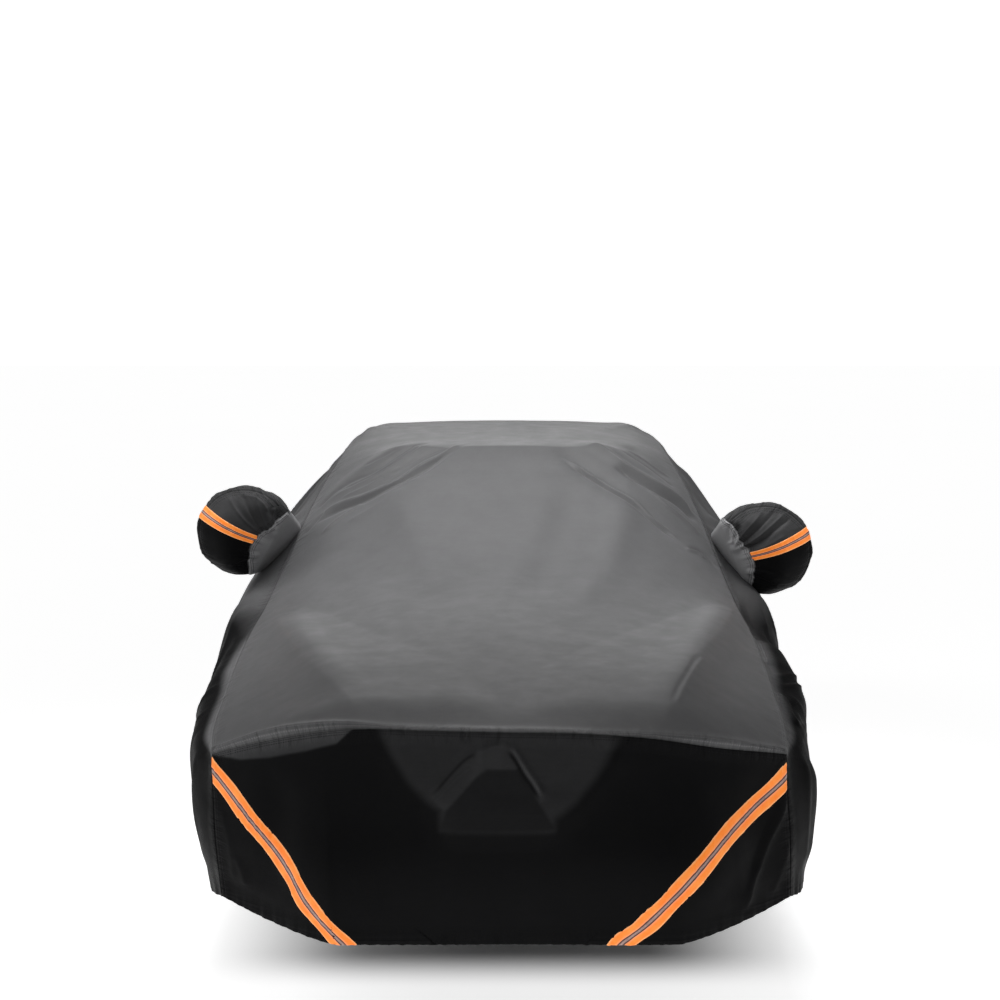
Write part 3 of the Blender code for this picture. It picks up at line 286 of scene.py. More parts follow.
RIGHT_CREASES = (                # points are y, z
    # from the mirror forward and down to the front arch
    (0.0080, 0.050, 0.014, ((1.790, 1.010), (1.640, 0.860), (1.440, 0.640), (1.230, 0.440))),
    (-0.0070, 0.016, 0.030, ((1.800, 0.960), (1.680, 0.820), (1.520, 0.640), (1.350, 0.450))),
    (0.0100, 0.030, 0.016, ((1.700, 0.985), (1.480, 0.860), (1.250, 0.700), (1.080, 0.480))),
    (-0.0080, 0.020, 0.020, ((1.560, 0.900), (1.300, 0.760), (1.080, 0.640))),
    (0.0070, 0.024, 0.020, ((1.450, 0.900), (1.150, 0.800), (0.860, 0.740))),
    (0.0050, 0.018, 0.018, ((1.250, 0.840), (1.000, 0.700), (0.800, 0.500))),
    # swags under the mirror
    (0.0130, 0.040, 0.018, ((1.960, 0.900), (2.080, 0.790), (2.260, 0.740), (2.440, 0.770))),
    (-0.0090, 0.020, 0.030, ((2.000, 0.830), (2.160, 0.700), (2.340, 0.660), (2.480, 0.680))),
    (0.0080, 0.030, 0.018, ((1.980, 0.780), (2.120, 0.620), (2.300, 0.560), (2.470, 0.580))),
    (0.0080, 0.018, 0.014, ((2.120, 0.900), (2.260, 0.850), (2.420, 0.870))),
    (-0.0050, 0.014, 0.014, ((2.180, 0.870), (2.300, 0.835), (2.430, 0.850))),
    # crumpled cloth below the roof's edge
    (0.0110, 0.012, 0.016, ((2.050, 1.170), (2.180, 1.060), (2.330, 0.990), (2.420, 0.980))),
    (-0.0090, 0.016, 0.012, ((2.060, 1.130), (2.200, 1.020), (2.360, 0.950))),
    (0.0110, 0.018, 0.014, ((2.380, 1.330), (2.300, 1.200), (2.360, 1.080), (2.480, 1.010))),
    (-0.0080, 0.018, 0.018, ((2.480, 1.340), (2.420, 1.200), (2.470, 1.080))),
    (0.0100, 0.016, 0.020, ((2.700, 1.360), (2.640, 1.220), (2.560, 1.080), (2.540, 0.960))),
    (-0.0080, 0.016, 0.016, ((2.840, 1.350), (2.780, 1.200), (2.700, 1.060))),
    (0.0090, 0.016, 0.018, ((2.980, 1.360), (2.880, 1.180), (2.760, 1.000), (2.700, 0.880))),
    (0.0100, 0.016, 0.024, ((3.260, 1.330), (3.220, 1.180), (3.060, 1.000), (2.960, 0.860))),
    (-0.0060, 0.020, 0.016, ((3.120, 1.350), (3.080, 1.200), (2.960, 1.040))),
    (0.0060, 0.020, 0.020, ((3.500, 1.280), (3.420, 1.080), (3.300, 0.940))),
    (0.0060, 0.020, 0.030, ((3.700, 1.180), (3.640, 1.040), (3.560, 0.900))),
    # behind the zip and over the rear arch
    (0.0080, 0.030, 0.018, ((2.600, 0.880), (2.900, 0.760), (3.250, 0.740), (3.600, 0.830))),
    (-0.0060, 0.020, 0.026, ((2.620, 0.800), (2.950, 0.680), (3.300, 0.670))),
    (0.0060, 0.030, 0.030, ((2.640, 0.640), (3.000, 0.560), (3.400, 0.520))),
    (0.0070, 0.026, 0.020, ((3.900, 1.060), (4.100, 0.860), (4.200, 0.640), (4.220, 0.480))),
    (-0.0050, 0.024, 0.024, ((4.150, 1.000), (4.350, 0.800), (4.420, 0.560))),
    # pinched cloth beside the seam
    (0.0090, 0.010, 0.008, ((0.790, 0.818), (0.700, 0.803), (0.620, 0.782), (0.560, 0.762))),
    (-0.0060, 0.008, 0.008, ((0.780, 0.796), (0.690, 0.782), (0.610, 0.762))),
    (0.0050, 0.008, 0.006, ((1.200, 0.750), (1.020, 0.788), (0.850, 0.822))),
    (-0.0040, 0.006, 0.006, ((1.210, 0.760), (1.030, 0.800), (0.870, 0.830))),
    (0.0045, 0.006, 0.006, ((1.180, 0.780), (1.040, 0.815), (0.920, 0.840))),
    (0.0070, 0.026, 0.020, ((1.280, 0.885), (1.160, 0.872), (1.020, 0.858))),
    # front corner
    (0.0060, 0.016, 0.020, ((0.420, 0.730), (0.400, 0.560), (0.420, 0.380))),
    (-0.0050, 0.016, 0.016, ((0.520, 0.760), (0.500, 0.600), (0.500, 0.400))),
    (0.0060, 0.018, 0.018, ((0.640, 0.790), (0.590, 0.640), (0.610, 0.440))),
    (0.0050, 0.016, 0.020, ((0.820, 0.820), (0.760, 0.700), (0.780, 0.520))),
    (-0.0045, 0.016, 0.016, ((0.740, 0.800), (0.690, 0.660), (0.700, 0.500))),
)
LEFT_CREASES = (                 # points are y, z
    (0.0070, 0.016, 0.045, ((1.760, 0.990), (1.600, 0.820), (1.400, 0.620), (1.250, 0.450))),
    (-0.0060, 0.030, 0.016, ((1.790, 0.930), (1.660, 0.780), (1.500, 0.600), (1.360, 0.450))),
    (0.0090, 0.018, 0.030, ((1.640, 0.960), (1.420, 0.820), (1.180, 0.640), (1.020, 0.470))),
    (-0.0070, 0.020, 0.020, ((1.500, 0.880), (1.240, 0.740), (1.020, 0.620))),
    (0.0060, 0.020, 0.026, ((1.380, 0.890), (1.080, 0.790), (0.800, 0.730))),
    (0.0110, 0.018, 0.036, ((1.980, 0.890), (2.150, 0.760), (2.380, 0.720), (2.640, 0.790))),
    (-0.0080, 0.030, 0.020, ((2.020, 0.810), (2.230, 0.680), (2.500, 0.650))),
    (0.0070, 0.018, 0.030, ((2.000, 0.740), (2.260, 0.580), (2.560, 0.560))),
    (0.0090, 0.016, 0.012, ((2.080, 1.180), (2.220, 1.050), (2.420, 0.980))),
    (-0.0070, 0.012, 0.016, ((2.090, 1.130), (2.240, 1.010), (2.420, 0.930))),
    (0.0090, 0.014, 0.018, ((2.460, 1.340), (2.400, 1.180), (2.480, 1.040))),
    (0.0080, 0.020, 0.016, ((2.760, 1.360), (2.700, 1.200), (2.600, 1.020))),
    (-0.0060, 0.016, 0.016, ((2.900, 1.350), (2.830, 1.180), (2.740, 1.020))),
    (0.0080, 0.018, 0.016, ((3.080, 1.350), (2.980, 1.160), (2.860, 0.960))),
    (0.0080, 0.024, 0.016, ((3.340, 1.310), (3.280, 1.140), (3.120, 0.940))),
    (0.0060, 0.020, 0.020, ((3.600, 1.240), (3.520, 1.060), (3.420, 0.920))),
    (0.0070, 0.018, 0.030, ((2.760, 0.860), (3.050, 0.750), (3.400, 0.760), (3.700, 0.860))),
    (-0.0050, 0.026, 0.020, ((2.900, 0.700), (3.250, 0.640), (3.550, 0.680))),
    (0.0060, 0.020, 0.026, ((3.950, 1.040), (4.120, 0.820), (4.200, 0.560))),
    (0.0060, 0.018, 0.018, ((0.430, 0.730), (0.420, 0.560), (0.440, 0.380))),
    (-0.0045, 0.016, 0.016, ((0.560, 0.770), (0.530, 0.620), (0.540, 0.420))),
    (0.0055, 0.018, 0.018, ((0.700, 0.800), (0.660, 0.660), (0.680, 0.480))),
    (0.0045, 0.016, 0.020, ((0.900, 0.840), (0.850, 0.720), (0.860, 0.560))),
)
REAR_CREASES = (                 # points are x, z
    (0.0070, 0.020, 0.014, ((-0.620, 0.940), (-0.480, 0.720), (-0.440, 0.460))),
    (-0.0050, 0.016, 0.016, ((-0.420, 0.980), (-0.330, 0.760), (-0.300, 0.520))),
    (0.0060, 0.018, 0.024, ((0.100, 1.020), (0.060, 0.800), (0.100, 0.480))),
    (0.0070, 0.016, 0.020, ((0.540, 0.960), (0.440, 0.760), (0.420, 0.500))),
    (0.0050, 0.020, 0.020, ((-0.160, 0.900), (0.040, 0.820), (0.280, 0.880))),
)
CREASE_END = 0.16        # share of a crease's length that tapers
CREASE_SHARP = 1.35      # below 2 for a crest that is sharper than a soft wave's
# Painted highlights: paler areas of the front's coated cloth where its relief catches the light: outline (x,
# z), the width of its soft edge and the shade inside; a later row covers an earlier one.
FRONT_GLEAMS = (
    (((-0.345, 0.900), (0.345, 0.900), (0.317, 0.850), (0.242, 0.737), (0.187, 0.676), (0.139, 0.638),
      (0.134, 0.606), (-0.160, 0.606), (-0.160, 0.660), (-0.200, 0.684), (-0.244, 0.729), (-0.306, 0.825)),
     0.034, 0.230),
    (((-0.184, 0.692), (-0.136, 0.7505), (-0.097, 0.7906), (-0.060, 0.815), (0.008, 0.835), (0.034, 0.815),
      (0.060, 0.775), (0.105, 0.684), (0.080, 0.670), (-0.150, 0.660)), 0.010, 0.300),
    (((-0.039, 0.7665), (0.042, 0.7665), (0.1395, 0.6086), (-0.160, 0.6086), (-0.1444, 0.6595),
      (-0.068, 0.7452)), 0.012, 0.095),
)
# Painted crisp lines there, as painted shade and highlights along the creases: shade added, half-width and
# points.
FRONT_LINES = (
    (-0.20, 0.0045, ((-0.184, 0.690), (-0.136, 0.7485), (-0.097, 0.7886), (-0.060, 0.811))),
    (0.50, 0.0045, ((0.020, 0.826), (0.041, 0.797), (0.066, 0.755), (0.085, 0.728), (0.110, 0.684))),
    (-0.35, 0.0060, ((0.012, 0.818), (0.033, 0.792), (0.058, 0.750), (0.077, 0.722), (0.102, 0.680))),
)

# Gathers along the seams: seed, mean spacing, height, reach into the sheet.
SEAM_GATHERS = {
    "left": (11, 0.030, 0.0030, 0.026),
    "right": (12, 0.028, 0.0034, 0.028),
    "nose": (13, 0.021, 0.0026, 0.020),
    "tail": (14, 0.034, 0.0024, 0.030),
}
GATHER_WIDTH = 0.0055
RELIEF_LIGHT = (-0.15, 0.35, 0.92)           # painted light and shade: faces of folds that look this way are painted paler, those turned away darker
SEAM_GROOVE = 0.0016     # the cloth dips into the seam by this much
GROOVE_WIDTH = 0.0032
SEAM_TUCK = 0.005        # the edges turn down into the seams by this much
HEM_GATHER = 0.0026      # height of the elastic hem's ripples
HEM_GATHER_REACH = 0.030
# Where the nose seam is gathered most: middle and half-width in x, and share.
NOSE_BUNCHES = ((-0.235, 0.100, 1.0), (0.330, 0.120, 0.8), (0.560, 0.130, 0.9), (0.720, 0.060, 1.2))
NOSE_ROLL = ((-0.80, 0.0085), (-0.44, 0.0085), (-0.30, 0.0020), (0.80, 0.0025))   # x and height
NOSE_ROLL_PLACE = (0.018, 0.016)             # distance from the seam and half-width
NOSE_TURN_SHADE = (0.62, 0.34)               # painted light at the seam, fading towards painted shade further down
# A grey band of painted light on the front sheet, where the top's cloth turns down over the nose on the
# left: x and how far down.
NOSE_TURN = ((-0.790, 0.004), (-0.710, 0.036), (-0.630, 0.047), (-0.524, 0.046), (-0.440, 0.036),
             (-0.385, -0.010), (0.800, -0.010))
DRIFT = ((0.30, 0.0022), (0.13, 0.0011), (0.055, 0.0004))     # size and height of slow unevenness


# ---------------------------------------------------------------- the cover's form
def column(name):
    """All rows of one named column of the station table."""
    index = STATION_COLUMNS.index(name)
    return np.array([row[index] for row in STATIONS])


def smooth(values, place):
    """Smooth curve through evenly numbered values, read at fractional places."""
    values = np.asarray(values, dtype=float)
    place = np.asarray(place, dtype=float)
    last = len(values) - 1
    low = np.clip(np.floor(place).astype(int), 0, last - 1)
    part = place - low
    before = values[np.maximum(low - 1, 0)]
    start = values[low]
    end = values[low + 1]
    after = values[np.minimum(low + 2, last)]
    start_slope = np.where(low > 0, (end - before) / 2, end - start)
    end_slope = np.where(low + 2 <= last, (after - start) / 2, end - start)
    square = part * part
    cube = square * part
    return (start * (2 * cube - 3 * square + 1) + start_slope * (cube - 2 * square + part)
            + end * (3 * square - 2 * cube) + end_slope * (cube - square))


def ease(value):
    """Soft step from 0 to 1."""
    value = np.clip(value, 0.0, 1.0)
    return value * value * (3 - 2 * value)


def leaned(x, y, z):
    """Points of the working frame, with the cover's slight lean to one side."""
    drop = LEAN_TURN - z
    back = LEAN_BACK * (drop + np.hypot(drop, LEAN_SOFT)) / 2
    return np.stack([x + LEAN * (z - LEAN_LEVEL) + back, y, z], axis=-1)


def nose_lift(across):
    """Lift of the seam over the nose."""
    return smooth(NOSE_LIFT, (across + 1) / 2 * (len(NOSE_LIFT) - 1))


def top_point(place, across):
    """Top panel: place is a row number of the table, across runs -1 to 1."""
    out = np.abs(across)
    crown_y = smooth(column("crown_y"), place)
    crown_z = smooth(column("crown_z"), place)
    y = crown_y + (smooth(column("seam_y"), place) - crown_y) * out ** PLAN_POWER
    power = smooth(column("square"), place)
    z = crown_z + (smooth(column("seam_z"), place) - crown_z) * out ** power
    z = z + nose_lift(across) * (1 - ease(place / NOSE_REACH))
    return leaned(across * smooth(column("seam_x"), place), y, z)


def four_rows(rows, down):
    """Smooth curve through four rows of a profile; down runs 0 to 3."""
    values = np.stack(np.broadcast_arrays(*rows))
    low = np.clip(np.floor(down).astype(int), 0, 2)
    part = down - low
    pick = np.take_along_axis
    start = pick(values, low[None], 0)[0]
    end = pick(values, low[None] + 1, 0)[0]
    before = pick(values, np.maximum(low - 1, 0)[None], 0)[0]
    after = pick(values, np.minimum(low + 2, 3)[None], 0)[0]
    start_slope = np.where(low > 0, (end - before) / 2, end - start)
    end_slope = np.where(low + 2 <= 3, (after - start) / 2, end - start)
    square = part * part
    cube = square * part
    return (start * (2 * cube - 3 * square + 1) + start_slope * (cube - 2 * square + part)
            + end * (3 * square - 2 * cube) + end_slope * (cube - square))


def side_profile(place, down):
    """Half-width and height of a side panel; down is 0 at the seam, 3 at the hem."""
    names = ("seam", "belt", "wide", "hem")
    x = [smooth(column(name + "_x"), place) for name in names]
    z = [smooth(column(name + "_z"), place) for name in names]
    return four_rows(x, down), four_rows(z, down)


def side_point(place, down, side):
    """Side panel on one side, -1 or 1, of the cover."""
    x, z = side_profile(place, down)
    return leaned(side * x, smooth(column("seam_y"), place), z)


def end_point(middle, station, down, across):
    """Front or rear panel: down as on the side panels, across -1 to 1."""
    out = np.abs(across)
    side_x, side_z = side_profile(np.full(np.shape(down), float(station)), down)
    middle_y = smooth([row[0] for row in middle], down)
    middle_z = smooth([row[1] for row in middle], down)
    corner_y = STATIONS[station][STATION_COLUMNS.index("seam_y")]
    power = STATIONS[station][STATION_COLUMNS.index("square")]
    plan = out ** PLAN_POWER
    rise = out ** power
    lift = 0.0
    if station == 0:
        straight = (np.maximum(out - HEM_STRAIGHT, 0.0) / (1 - HEM_STRAIGHT)) ** HEM_POWER
        plan = plan + (straight - plan) * ease(down / 3)
        rise = rise + (straight - rise) * ease(down / 3)
        lift = nose_lift(across) * (1 - ease(down / NOSE_REACH))
    y = middle_y + (corner_y - middle_y) * plan
    z = middle_z + (side_z - middle_z) * rise + lift
    return leaned(across * side_x, y, z)


# ---------------------------------------------------------------- lifts
def fold_lift(folds, a, b):
    """Lift of the solids' main folds at the points a, b of the panel's plane."""
    lift = np.zeros_like(a)
    for from_a, from_b, to_a, to_b, bow, width, height in folds:
        length = math.hypot(to_a - from_a, to_b - from_b)
        step_a = (to_a - from_a) / length
        step_b = (to_b - from_b) / length
        along = ((a - from_a) * step_a + (b - from_b) * step_b) / length
        aside = (b - from_b) * step_a - (a - from_a) * step_b
        aside = aside - bow * 4 * along * (1 - along)
        ends = ease(along / FOLD_END) * ease((1 - along) / FOLD_END)
        lift = lift + height * np.exp(-(aside / width) ** 2) * ends
    return lift


def along_line(points, a, b, reach):
    """Nearest place on a smooth line: share along it, signed distance, and which were near."""
    steps = 6 * (len(points) - 1)
    place = np.linspace(0, len(points) - 1, steps + 1)
    line = np.stack([smooth([p[i] for p in points], place) for i in (0, 1)], axis=1)
    low = line.min(axis=0) - reach
    high = line.max(axis=0) + reach
    near = (a > low[0]) & (a < high[0]) & (b > low[1]) & (b < high[1])
    at = np.stack([a[near], b[near]], axis=1)
    best = np.full(len(at), 1e9)
    share = np.zeros(len(at))
    aside = np.zeros(len(at))
    for i in range(steps):
        run = line[i + 1] - line[i]
        gap = at - line[i]
        part = np.clip(gap @ run / (run @ run), 0, 1)
        off = gap - part[:, None] * run
        distance = np.hypot(off[:, 0], off[:, 1])
        closer = distance < best
        turn = run[0] * gap[:, 1] - run[1] * gap[:, 0]
        best = np.where(closer, distance, best)
        share = np.where(closer, (i + part) / steps, share)
        aside = np.where(closer, np.sign(turn) * distance, aside)
    return near, share, aside


def crease_lift(creases, a, b):
    """Lift of drawn creases, each with a broad and a steep flank."""
    lift = np.zeros_like(a)
    for height, wide, narrow, points in creases:
        near, share, aside = along_line(points, a, b, 3 * max(wide, narrow))
        width = np.where(aside > 0, wide, narrow)
        ends = ease(share / CREASE_END) * ease((1 - share) / CREASE_END)
        lift[near] += height * np.exp(-np.abs(aside / width) ** CREASE_SHARP) * ends
    return lift


def tent_lift(tents, a, b):
    """Lift of sharp edges: straight flanks down both sides of a line."""
    lift = np.zeros_like(a)
    for height, width, points in tents:
        near, share, aside = along_line(points, a, b, width)
        ends = ease(share / 0.2) * ease((1 - share) / 0.2)
        flank = np.clip(1 - np.sqrt(aside ** 2 + 0.004 ** 2) / width, 0, 1)
        lift[near] += height * flank ** 1.35 * ends
    return lift


def facet_lift(out, y, width, side):
    """Lift that keeps the bonnet's middle flat and makes a straight flank beside it."""
    edge = np.interp(y, [row[0] for row in FACETS[side]], [row[1] for row in FACETS[side]])
    flank = np.maximum(width - edge, 0.01)
    full = np.minimum(FACET_SLOPE * flank, FACET_LIMIT)
    height = full * ease((y - 0.03) / 0.20) * ease((1.60 - y) / 0.15)
    inner = 1 - (edge - out) * FACET_RISE / full
    outer = (width - out) / flank
    lower = (inner + outer - np.sqrt((inner - outer) ** 2 + FACET_ROUND ** 2)) / 2
    return height * np.clip(lower, 0, 1)


def drift(a, b, size, seed):
    """Smooth unevenness between -1 and 1 with bumps about that size."""
    rows, cols = int(6.5 / size) + 3, int(6.5 / size) + 3
    heights = np.random.default_rng(seed).uniform(-1, 1, (rows, cols))
    u = np.clip((a + 1.2) / size, 0, rows - 2)
    v = np.clip((b + 0.4) / size, 0, cols - 2)
    row, col = np.floor(u).astype(int), np.floor(v).astype(int)
    s, t = ease(u - row), ease(v - col)
    return ((heights[row, col] * (1 - s) + heights[row + 1, col] * s) * (1 - t)
            + (heights[row, col + 1] * (1 - s) + heights[row + 1, col + 1] * s) * t)


def drift_lift(a, b, seed):
    """Slow unevenness of hanging cloth."""
    lift = np.zeros_like(a)
    for i, (size, height) in enumerate(DRIFT):
        lift += height * drift(a + 0.3 * b * (i % 2), b, size, seed * 10 + i)
    return lift


def gather_lift(name, run, off, share=1.0):
    """Small uneven pleats that run from a seam into the cloth."""
    seed, spacing, height, reach = SEAM_GATHERS[name]
    random = np.random.default_rng(seed)
    lift = np.zeros_like(run)
    near = off < 4 * reach
    at, into = run[near], off[near]
    found = np.zeros_like(at)
    place = float(run.min())
    while place < float(run.max()):
        place += spacing * random.uniform(0.4, 1.7)
        size = height * random.uniform(-0.8, 1.0) * random.uniform(0.3, 1.0)
        slant = random.normal(0, 0.35)
        width = GATHER_WIDTH * random.uniform(0.6, 1.6)
        depth = reach * random.uniform(0.5, 1.8)
        aside = (at - place - slant * into) / width
        found += size * np.exp(-aside ** 2) * np.exp(-(into / depth) ** 1.5)
    found *= ease(into / 0.004)
    lift[near] = found
    return lift * share


def hem_ripple(run, off, seed):
    """Ripples that the hem's elastic draws into the cloth."""
    random = np.random.default_rng(seed)
    wave = np.zeros_like(run)
    for _ in range(7):
        length = random.uniform(0.018, 0.060)
        wave += random.uniform(0.4, 1.0) * np.sin(run / length * 2 * math.pi + random.uniform(0, 6.3))
    return HEM_GATHER * wave / 3 * np.exp(-(off / HEM_GATHER_REACH) ** 1.3)


def groove(off):
    """Dip of the cloth into a seam."""
    return -SEAM_GROOVE * np.exp(-(off / GROOVE_WIDTH) ** 2)


# ---------------------------------------------------------------- sheets
def grid_normals(points):
    """Normals of a grid of points, rows by columns."""
    down = np.gradient(points, axis=0)
    over = np.gradient(points, axis=1)
    normal = np.cross(down, over)
    length = np.linalg.norm(normal, axis=-1, keepdims=True)
    return normal / np.maximum(length, 1e-12)


def lifted(points, normals, lift):
    return points + normals * (lift + CLOTH / 2)[..., None]


def relief_of(sheet, normals, facing=1):
    """How much more the lifted cloth faces RELIEF_LIGHT than its plain form does, for painted light and
    shade.
    """
    return np.clip((grid_normals(sheet) * facing - normals) @ np.array(RELIEF_LIGHT), -0.13, 0.20)


def path_length(points, axis):
    """Distance run along one axis of a grid."""
    steps = np.linalg.norm(np.diff(points, axis=axis), axis=-1)
    start = np.zeros_like(np.take(steps, [0], axis=axis))
    return np.concatenate([start, np.cumsum(steps, axis=axis)], axis=axis)


def tucked(points, normals, values, sides):
    """Turns the given sides of a sheet down into its seams: first and last row, first and last column."""
    margins = ((int(sides[0]), int(sides[1])), (int(sides[2]), int(sides[3])))
    points = np.pad(points, margins + ((0, 0),), mode="edge")
    normals = np.pad(normals, margins + ((0, 0),), mode="edge")
    values = {key: np.pad(value, margins, mode="edge") for key, value in values.items()}
    for side, (axis, end) in zip(sides, ((0, 0), (0, -1), (1, 0), (1, -1))):
        if side:
            edge = (end, slice(None)) if axis == 0 else (slice(None), end)
            points[edge] -= normals[edge] * SEAM_TUCK
    return points, values


def sheet_object(name, points, slot, flip=False, values=None):
    """Smooth mesh over a grid of points, with named numbers at its points."""
    rows, cols = points.shape[:2]
    mesh = bpy.data.meshes.new(name)
    index = np.arange(rows * cols).reshape(rows, cols)
    corners = [index[:-1, :-1], index[:-1, 1:], index[1:, 1:], index[1:, :-1]]
    if flip:
        corners.reverse()
    faces = np.stack(corners, axis=-1).reshape(-1, 4)
    flat = (points - ORIGIN).reshape(-1, 3)
    mesh.vertices.add(len(flat))
    mesh.vertices.foreach_set("co", flat.ravel())
    mesh.loops.add(faces.size)
    mesh.loops.foreach_set("vertex_index", faces.ravel())
    mesh.polygons.add(len(faces))
    mesh.polygons.foreach_set("loop_start", np.arange(0, faces.size, 4))
    mesh.polygons.foreach_set("use_smooth", np.ones(len(faces), dtype=bool))
    mesh.update(calc_edges=True)
    mesh.validate()
    for key, value in (values or {}).items():
        layer = mesh.attributes.new(key, "FLOAT", "POINT")
        layer.data.foreach_set("value", np.broadcast_to(value, (rows, cols)).ravel().astype(np.float32))
    return finished(name, mesh, slot)


def finished(name, data, slot):
    """Links a piece, gives it its finish and makes it ride with the cover."""
    piece = bpy.data.objects.new(name, data)
    bpy.context.scene.collection.objects.link(piece)
    data.materials.append(MATERIALS[slot])
    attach(piece, "root")
    return piece


def seam_steps(length, step):
    """Places along a width, close together at both seams."""
    inner = np.arange(SEAM_COLUMNS[-1] + step, length - SEAM_COLUMNS[-1] - step / 2, step)
    edges = np.array(SEAM_COLUMNS)
    return np.concatenate([edges, inner, (length - edges)[::-1]]) / length


def places_along(step_of):
    """Fractional station numbers whose spacing along Y follows step_of."""
    fine = np.linspace(0, LAST, 4000)
    y = smooth(column("crown_y"), fine)
    weight = np.concatenate([[0], np.cumsum(np.diff(y) / step_of((y[1:] + y[:-1]) / 2))])
    count = int(math.ceil(weight[-1]))
    return np.interp(np.linspace(0, weight[-1], count + 1), weight, fine)


def top_steps(y):
    fine = ease((y - SCREEN[0]) / 0.12) * ease((SCREEN[1] - y) / 0.12)
    plain = np.where(y < 2.0, BONNET_STEP, ROOF_STEP)
    near_seam = np.minimum(y, column("crown_y")[-1] - y) < 0.03
    return np.where(near_seam, 0.003, plain + (SCREEN_STEP - plain) * fine)


def side_steps(y):
    near_end = np.minimum(y, column("crown_y")[-1] - y) < 0.03
    return np.where(near_end, 0.004, SIDE_STEP)


def build_top():
    places = places_along(top_steps)
    half = seam_steps(1.60, ACROSS_STEP)
    place, across = np.meshgrid(places, half * 2 - 1, indexing="ij")
    points = top_point(place, across)
    normals = -grid_normals(points)
    x, y = points[..., 0], points[..., 1]
    width = smooth(column("seam_x"), place)
    side_off = (1 - np.abs(across)) * width
    run = path_length(points, 0)
    nose_off = run
    tail_off = run[-1:] - run
    inner = ease(side_off / FADE) * ease(place / 0.5) * ease((LAST - place) / 0.5)
    lift = fold_lift(TOP_FOLDS, x, y) * inner
    free = ease(side_off / 0.012) * ease(nose_off / 0.012) * ease(tail_off / 0.012)
    bends = facet_lift(-x, y, width, -1) * (x < 0) + facet_lift(x, y, width, 1) * (x > 0)
    lift += bends * ease(nose_off / 0.012)
    fine = crease_lift(TOP_CREASES, x, y) + tent_lift(TOP_TENTS, x, y) + drift_lift(x, y, 3)
    lift += fine * free
    lift += gather_lift("left", y, np.where(x < 0, side_off, 9.0))
    lift += gather_lift("right", y, np.where(x > 0, side_off, 9.0))
    bunch = 0.35 + sum(share * np.exp(-((x - middle) / reach) ** 2) for middle, reach, share in NOSE_BUNCHES)
    lift += gather_lift("nose", x, nose_off, bunch)
    lift += gather_lift("tail", x, tail_off)
    roll = np.interp(x, [row[0] for row in NOSE_ROLL], [row[1] for row in NOSE_ROLL])
    lift += roll * np.exp(-((nose_off - NOSE_ROLL_PLACE[0]) / NOSE_ROLL_PLACE[1]) ** 2)
    off = np.minimum(np.minimum(side_off, nose_off), tail_off)
    lift += groove(off)
    along = np.where(side_off < np.minimum(nose_off, tail_off), y, x)
    sheet = lifted(points, normals, lift)
    values = {"seam_off": off, "seam_run": along, "across": x, "along": run, "shade": 0 * x + 1,
              "hem_off": 0 * x + 9, "relief": relief_of(sheet, normals, -1)}
    sheet, values = tucked(sheet, normals, values, (True, True, True, True))
    return sheet_object("top_sheet", sheet, "top_cloth", False, values)


def with_hem(points, inward):
    """Adds the rows of the turned hem, rounded at its fold."""
    rows = [points]
    for step in HEM_ROWS:
        share = step / HEM_TURN
        drop = HEM_RISE * share ** 2 - 0.0022 * math.sin(math.pi * min(share * 1.6, 1.0))
        rows.append((points[-1] + inward * step + np.array((0.0, 0.0, drop)))[None])
    return np.concatenate(rows)


def hem_values(values, rows):
    """Repeats the last row of each number over the turned hem."""
    return {key: np.concatenate([value] + [value[-1:]] * rows) for key, value in values.items()}


def build_side(side, folds, creases, seed):
    places = places_along(side_steps)
    down = np.linspace(0, 1, DOWN_STEPS) ** 1.12 * 3
    place, low = np.meshgrid(places, down, indexing="ij")
    place, low = place.T, low.T
    points = side_point(place, low, side)
    normals = grid_normals(points) * side
    y, z = points[..., 1], points[..., 2]
    seam_off = path_length(points, 0)
    hem_off = seam_off[-1:] - seam_off
    run = path_length(points, 1)
    end_off = np.minimum(run, run[:, -1:] - run)
    lift = fold_lift(folds, y, z) * ease(low / 0.35) * ease(place / 0.5) * ease((LAST - place) / 0.5)
    free = ease(seam_off / 0.012) * ease(end_off / 0.02)
    lift += (crease_lift(creases, y, z) + drift_lift(y, z, seed)) * free
    lift += gather_lift("left" if side < 0 else "right", y, seam_off) * 0.9
    lift += hem_ripple(y, hem_off, seed) * ease(end_off / 0.02)
    off = np.minimum(seam_off, end_off)
    lift += groove(off)
    swing = math.pi / 4 * (ease((LAST - places) / CORNER_REACH) - ease(places / CORNER_REACH))
    inward = np.stack([-side * np.cos(swing), np.sin(swing), 0 * swing], axis=-1)
    sheet = lifted(points, normals, lift)
    relief = relief_of(sheet, normals, side)
    sheet = with_hem(sheet, inward)
    normals = np.concatenate([normals] + [normals[-1:]] * len(HEM_ROWS))
    # Painted light: the side is paler above SHADE_LINE, by SIDE_SHADES, where its cloth turns up towards the
    # seam.
    border = np.minimum(SHADE_LINE[0] + SHADE_LINE[1] * y, SHADE_LINE[2])
    soft = 0.012 + 0.05 * ease((y - 1.1) / 0.9)
    shade = ease((z - border + 0.010 * drift(y, z, 0.2, 90)) / soft * 0.5 + 0.5)
    shades = SIDE_SHADES[side]
    shade = shade * np.interp(y, [row[0] for row in shades], [row[1] for row in shades])
    values = {"seam_off": off, "seam_run": np.where(seam_off < end_off, y, z), "across": z,
              "along": run, "shade": shade, "hem_off": hem_off, "relief": relief}
    values = hem_values(values, len(HEM_ROWS))
    return tucked(sheet, normals, values, (True, False, True, True))


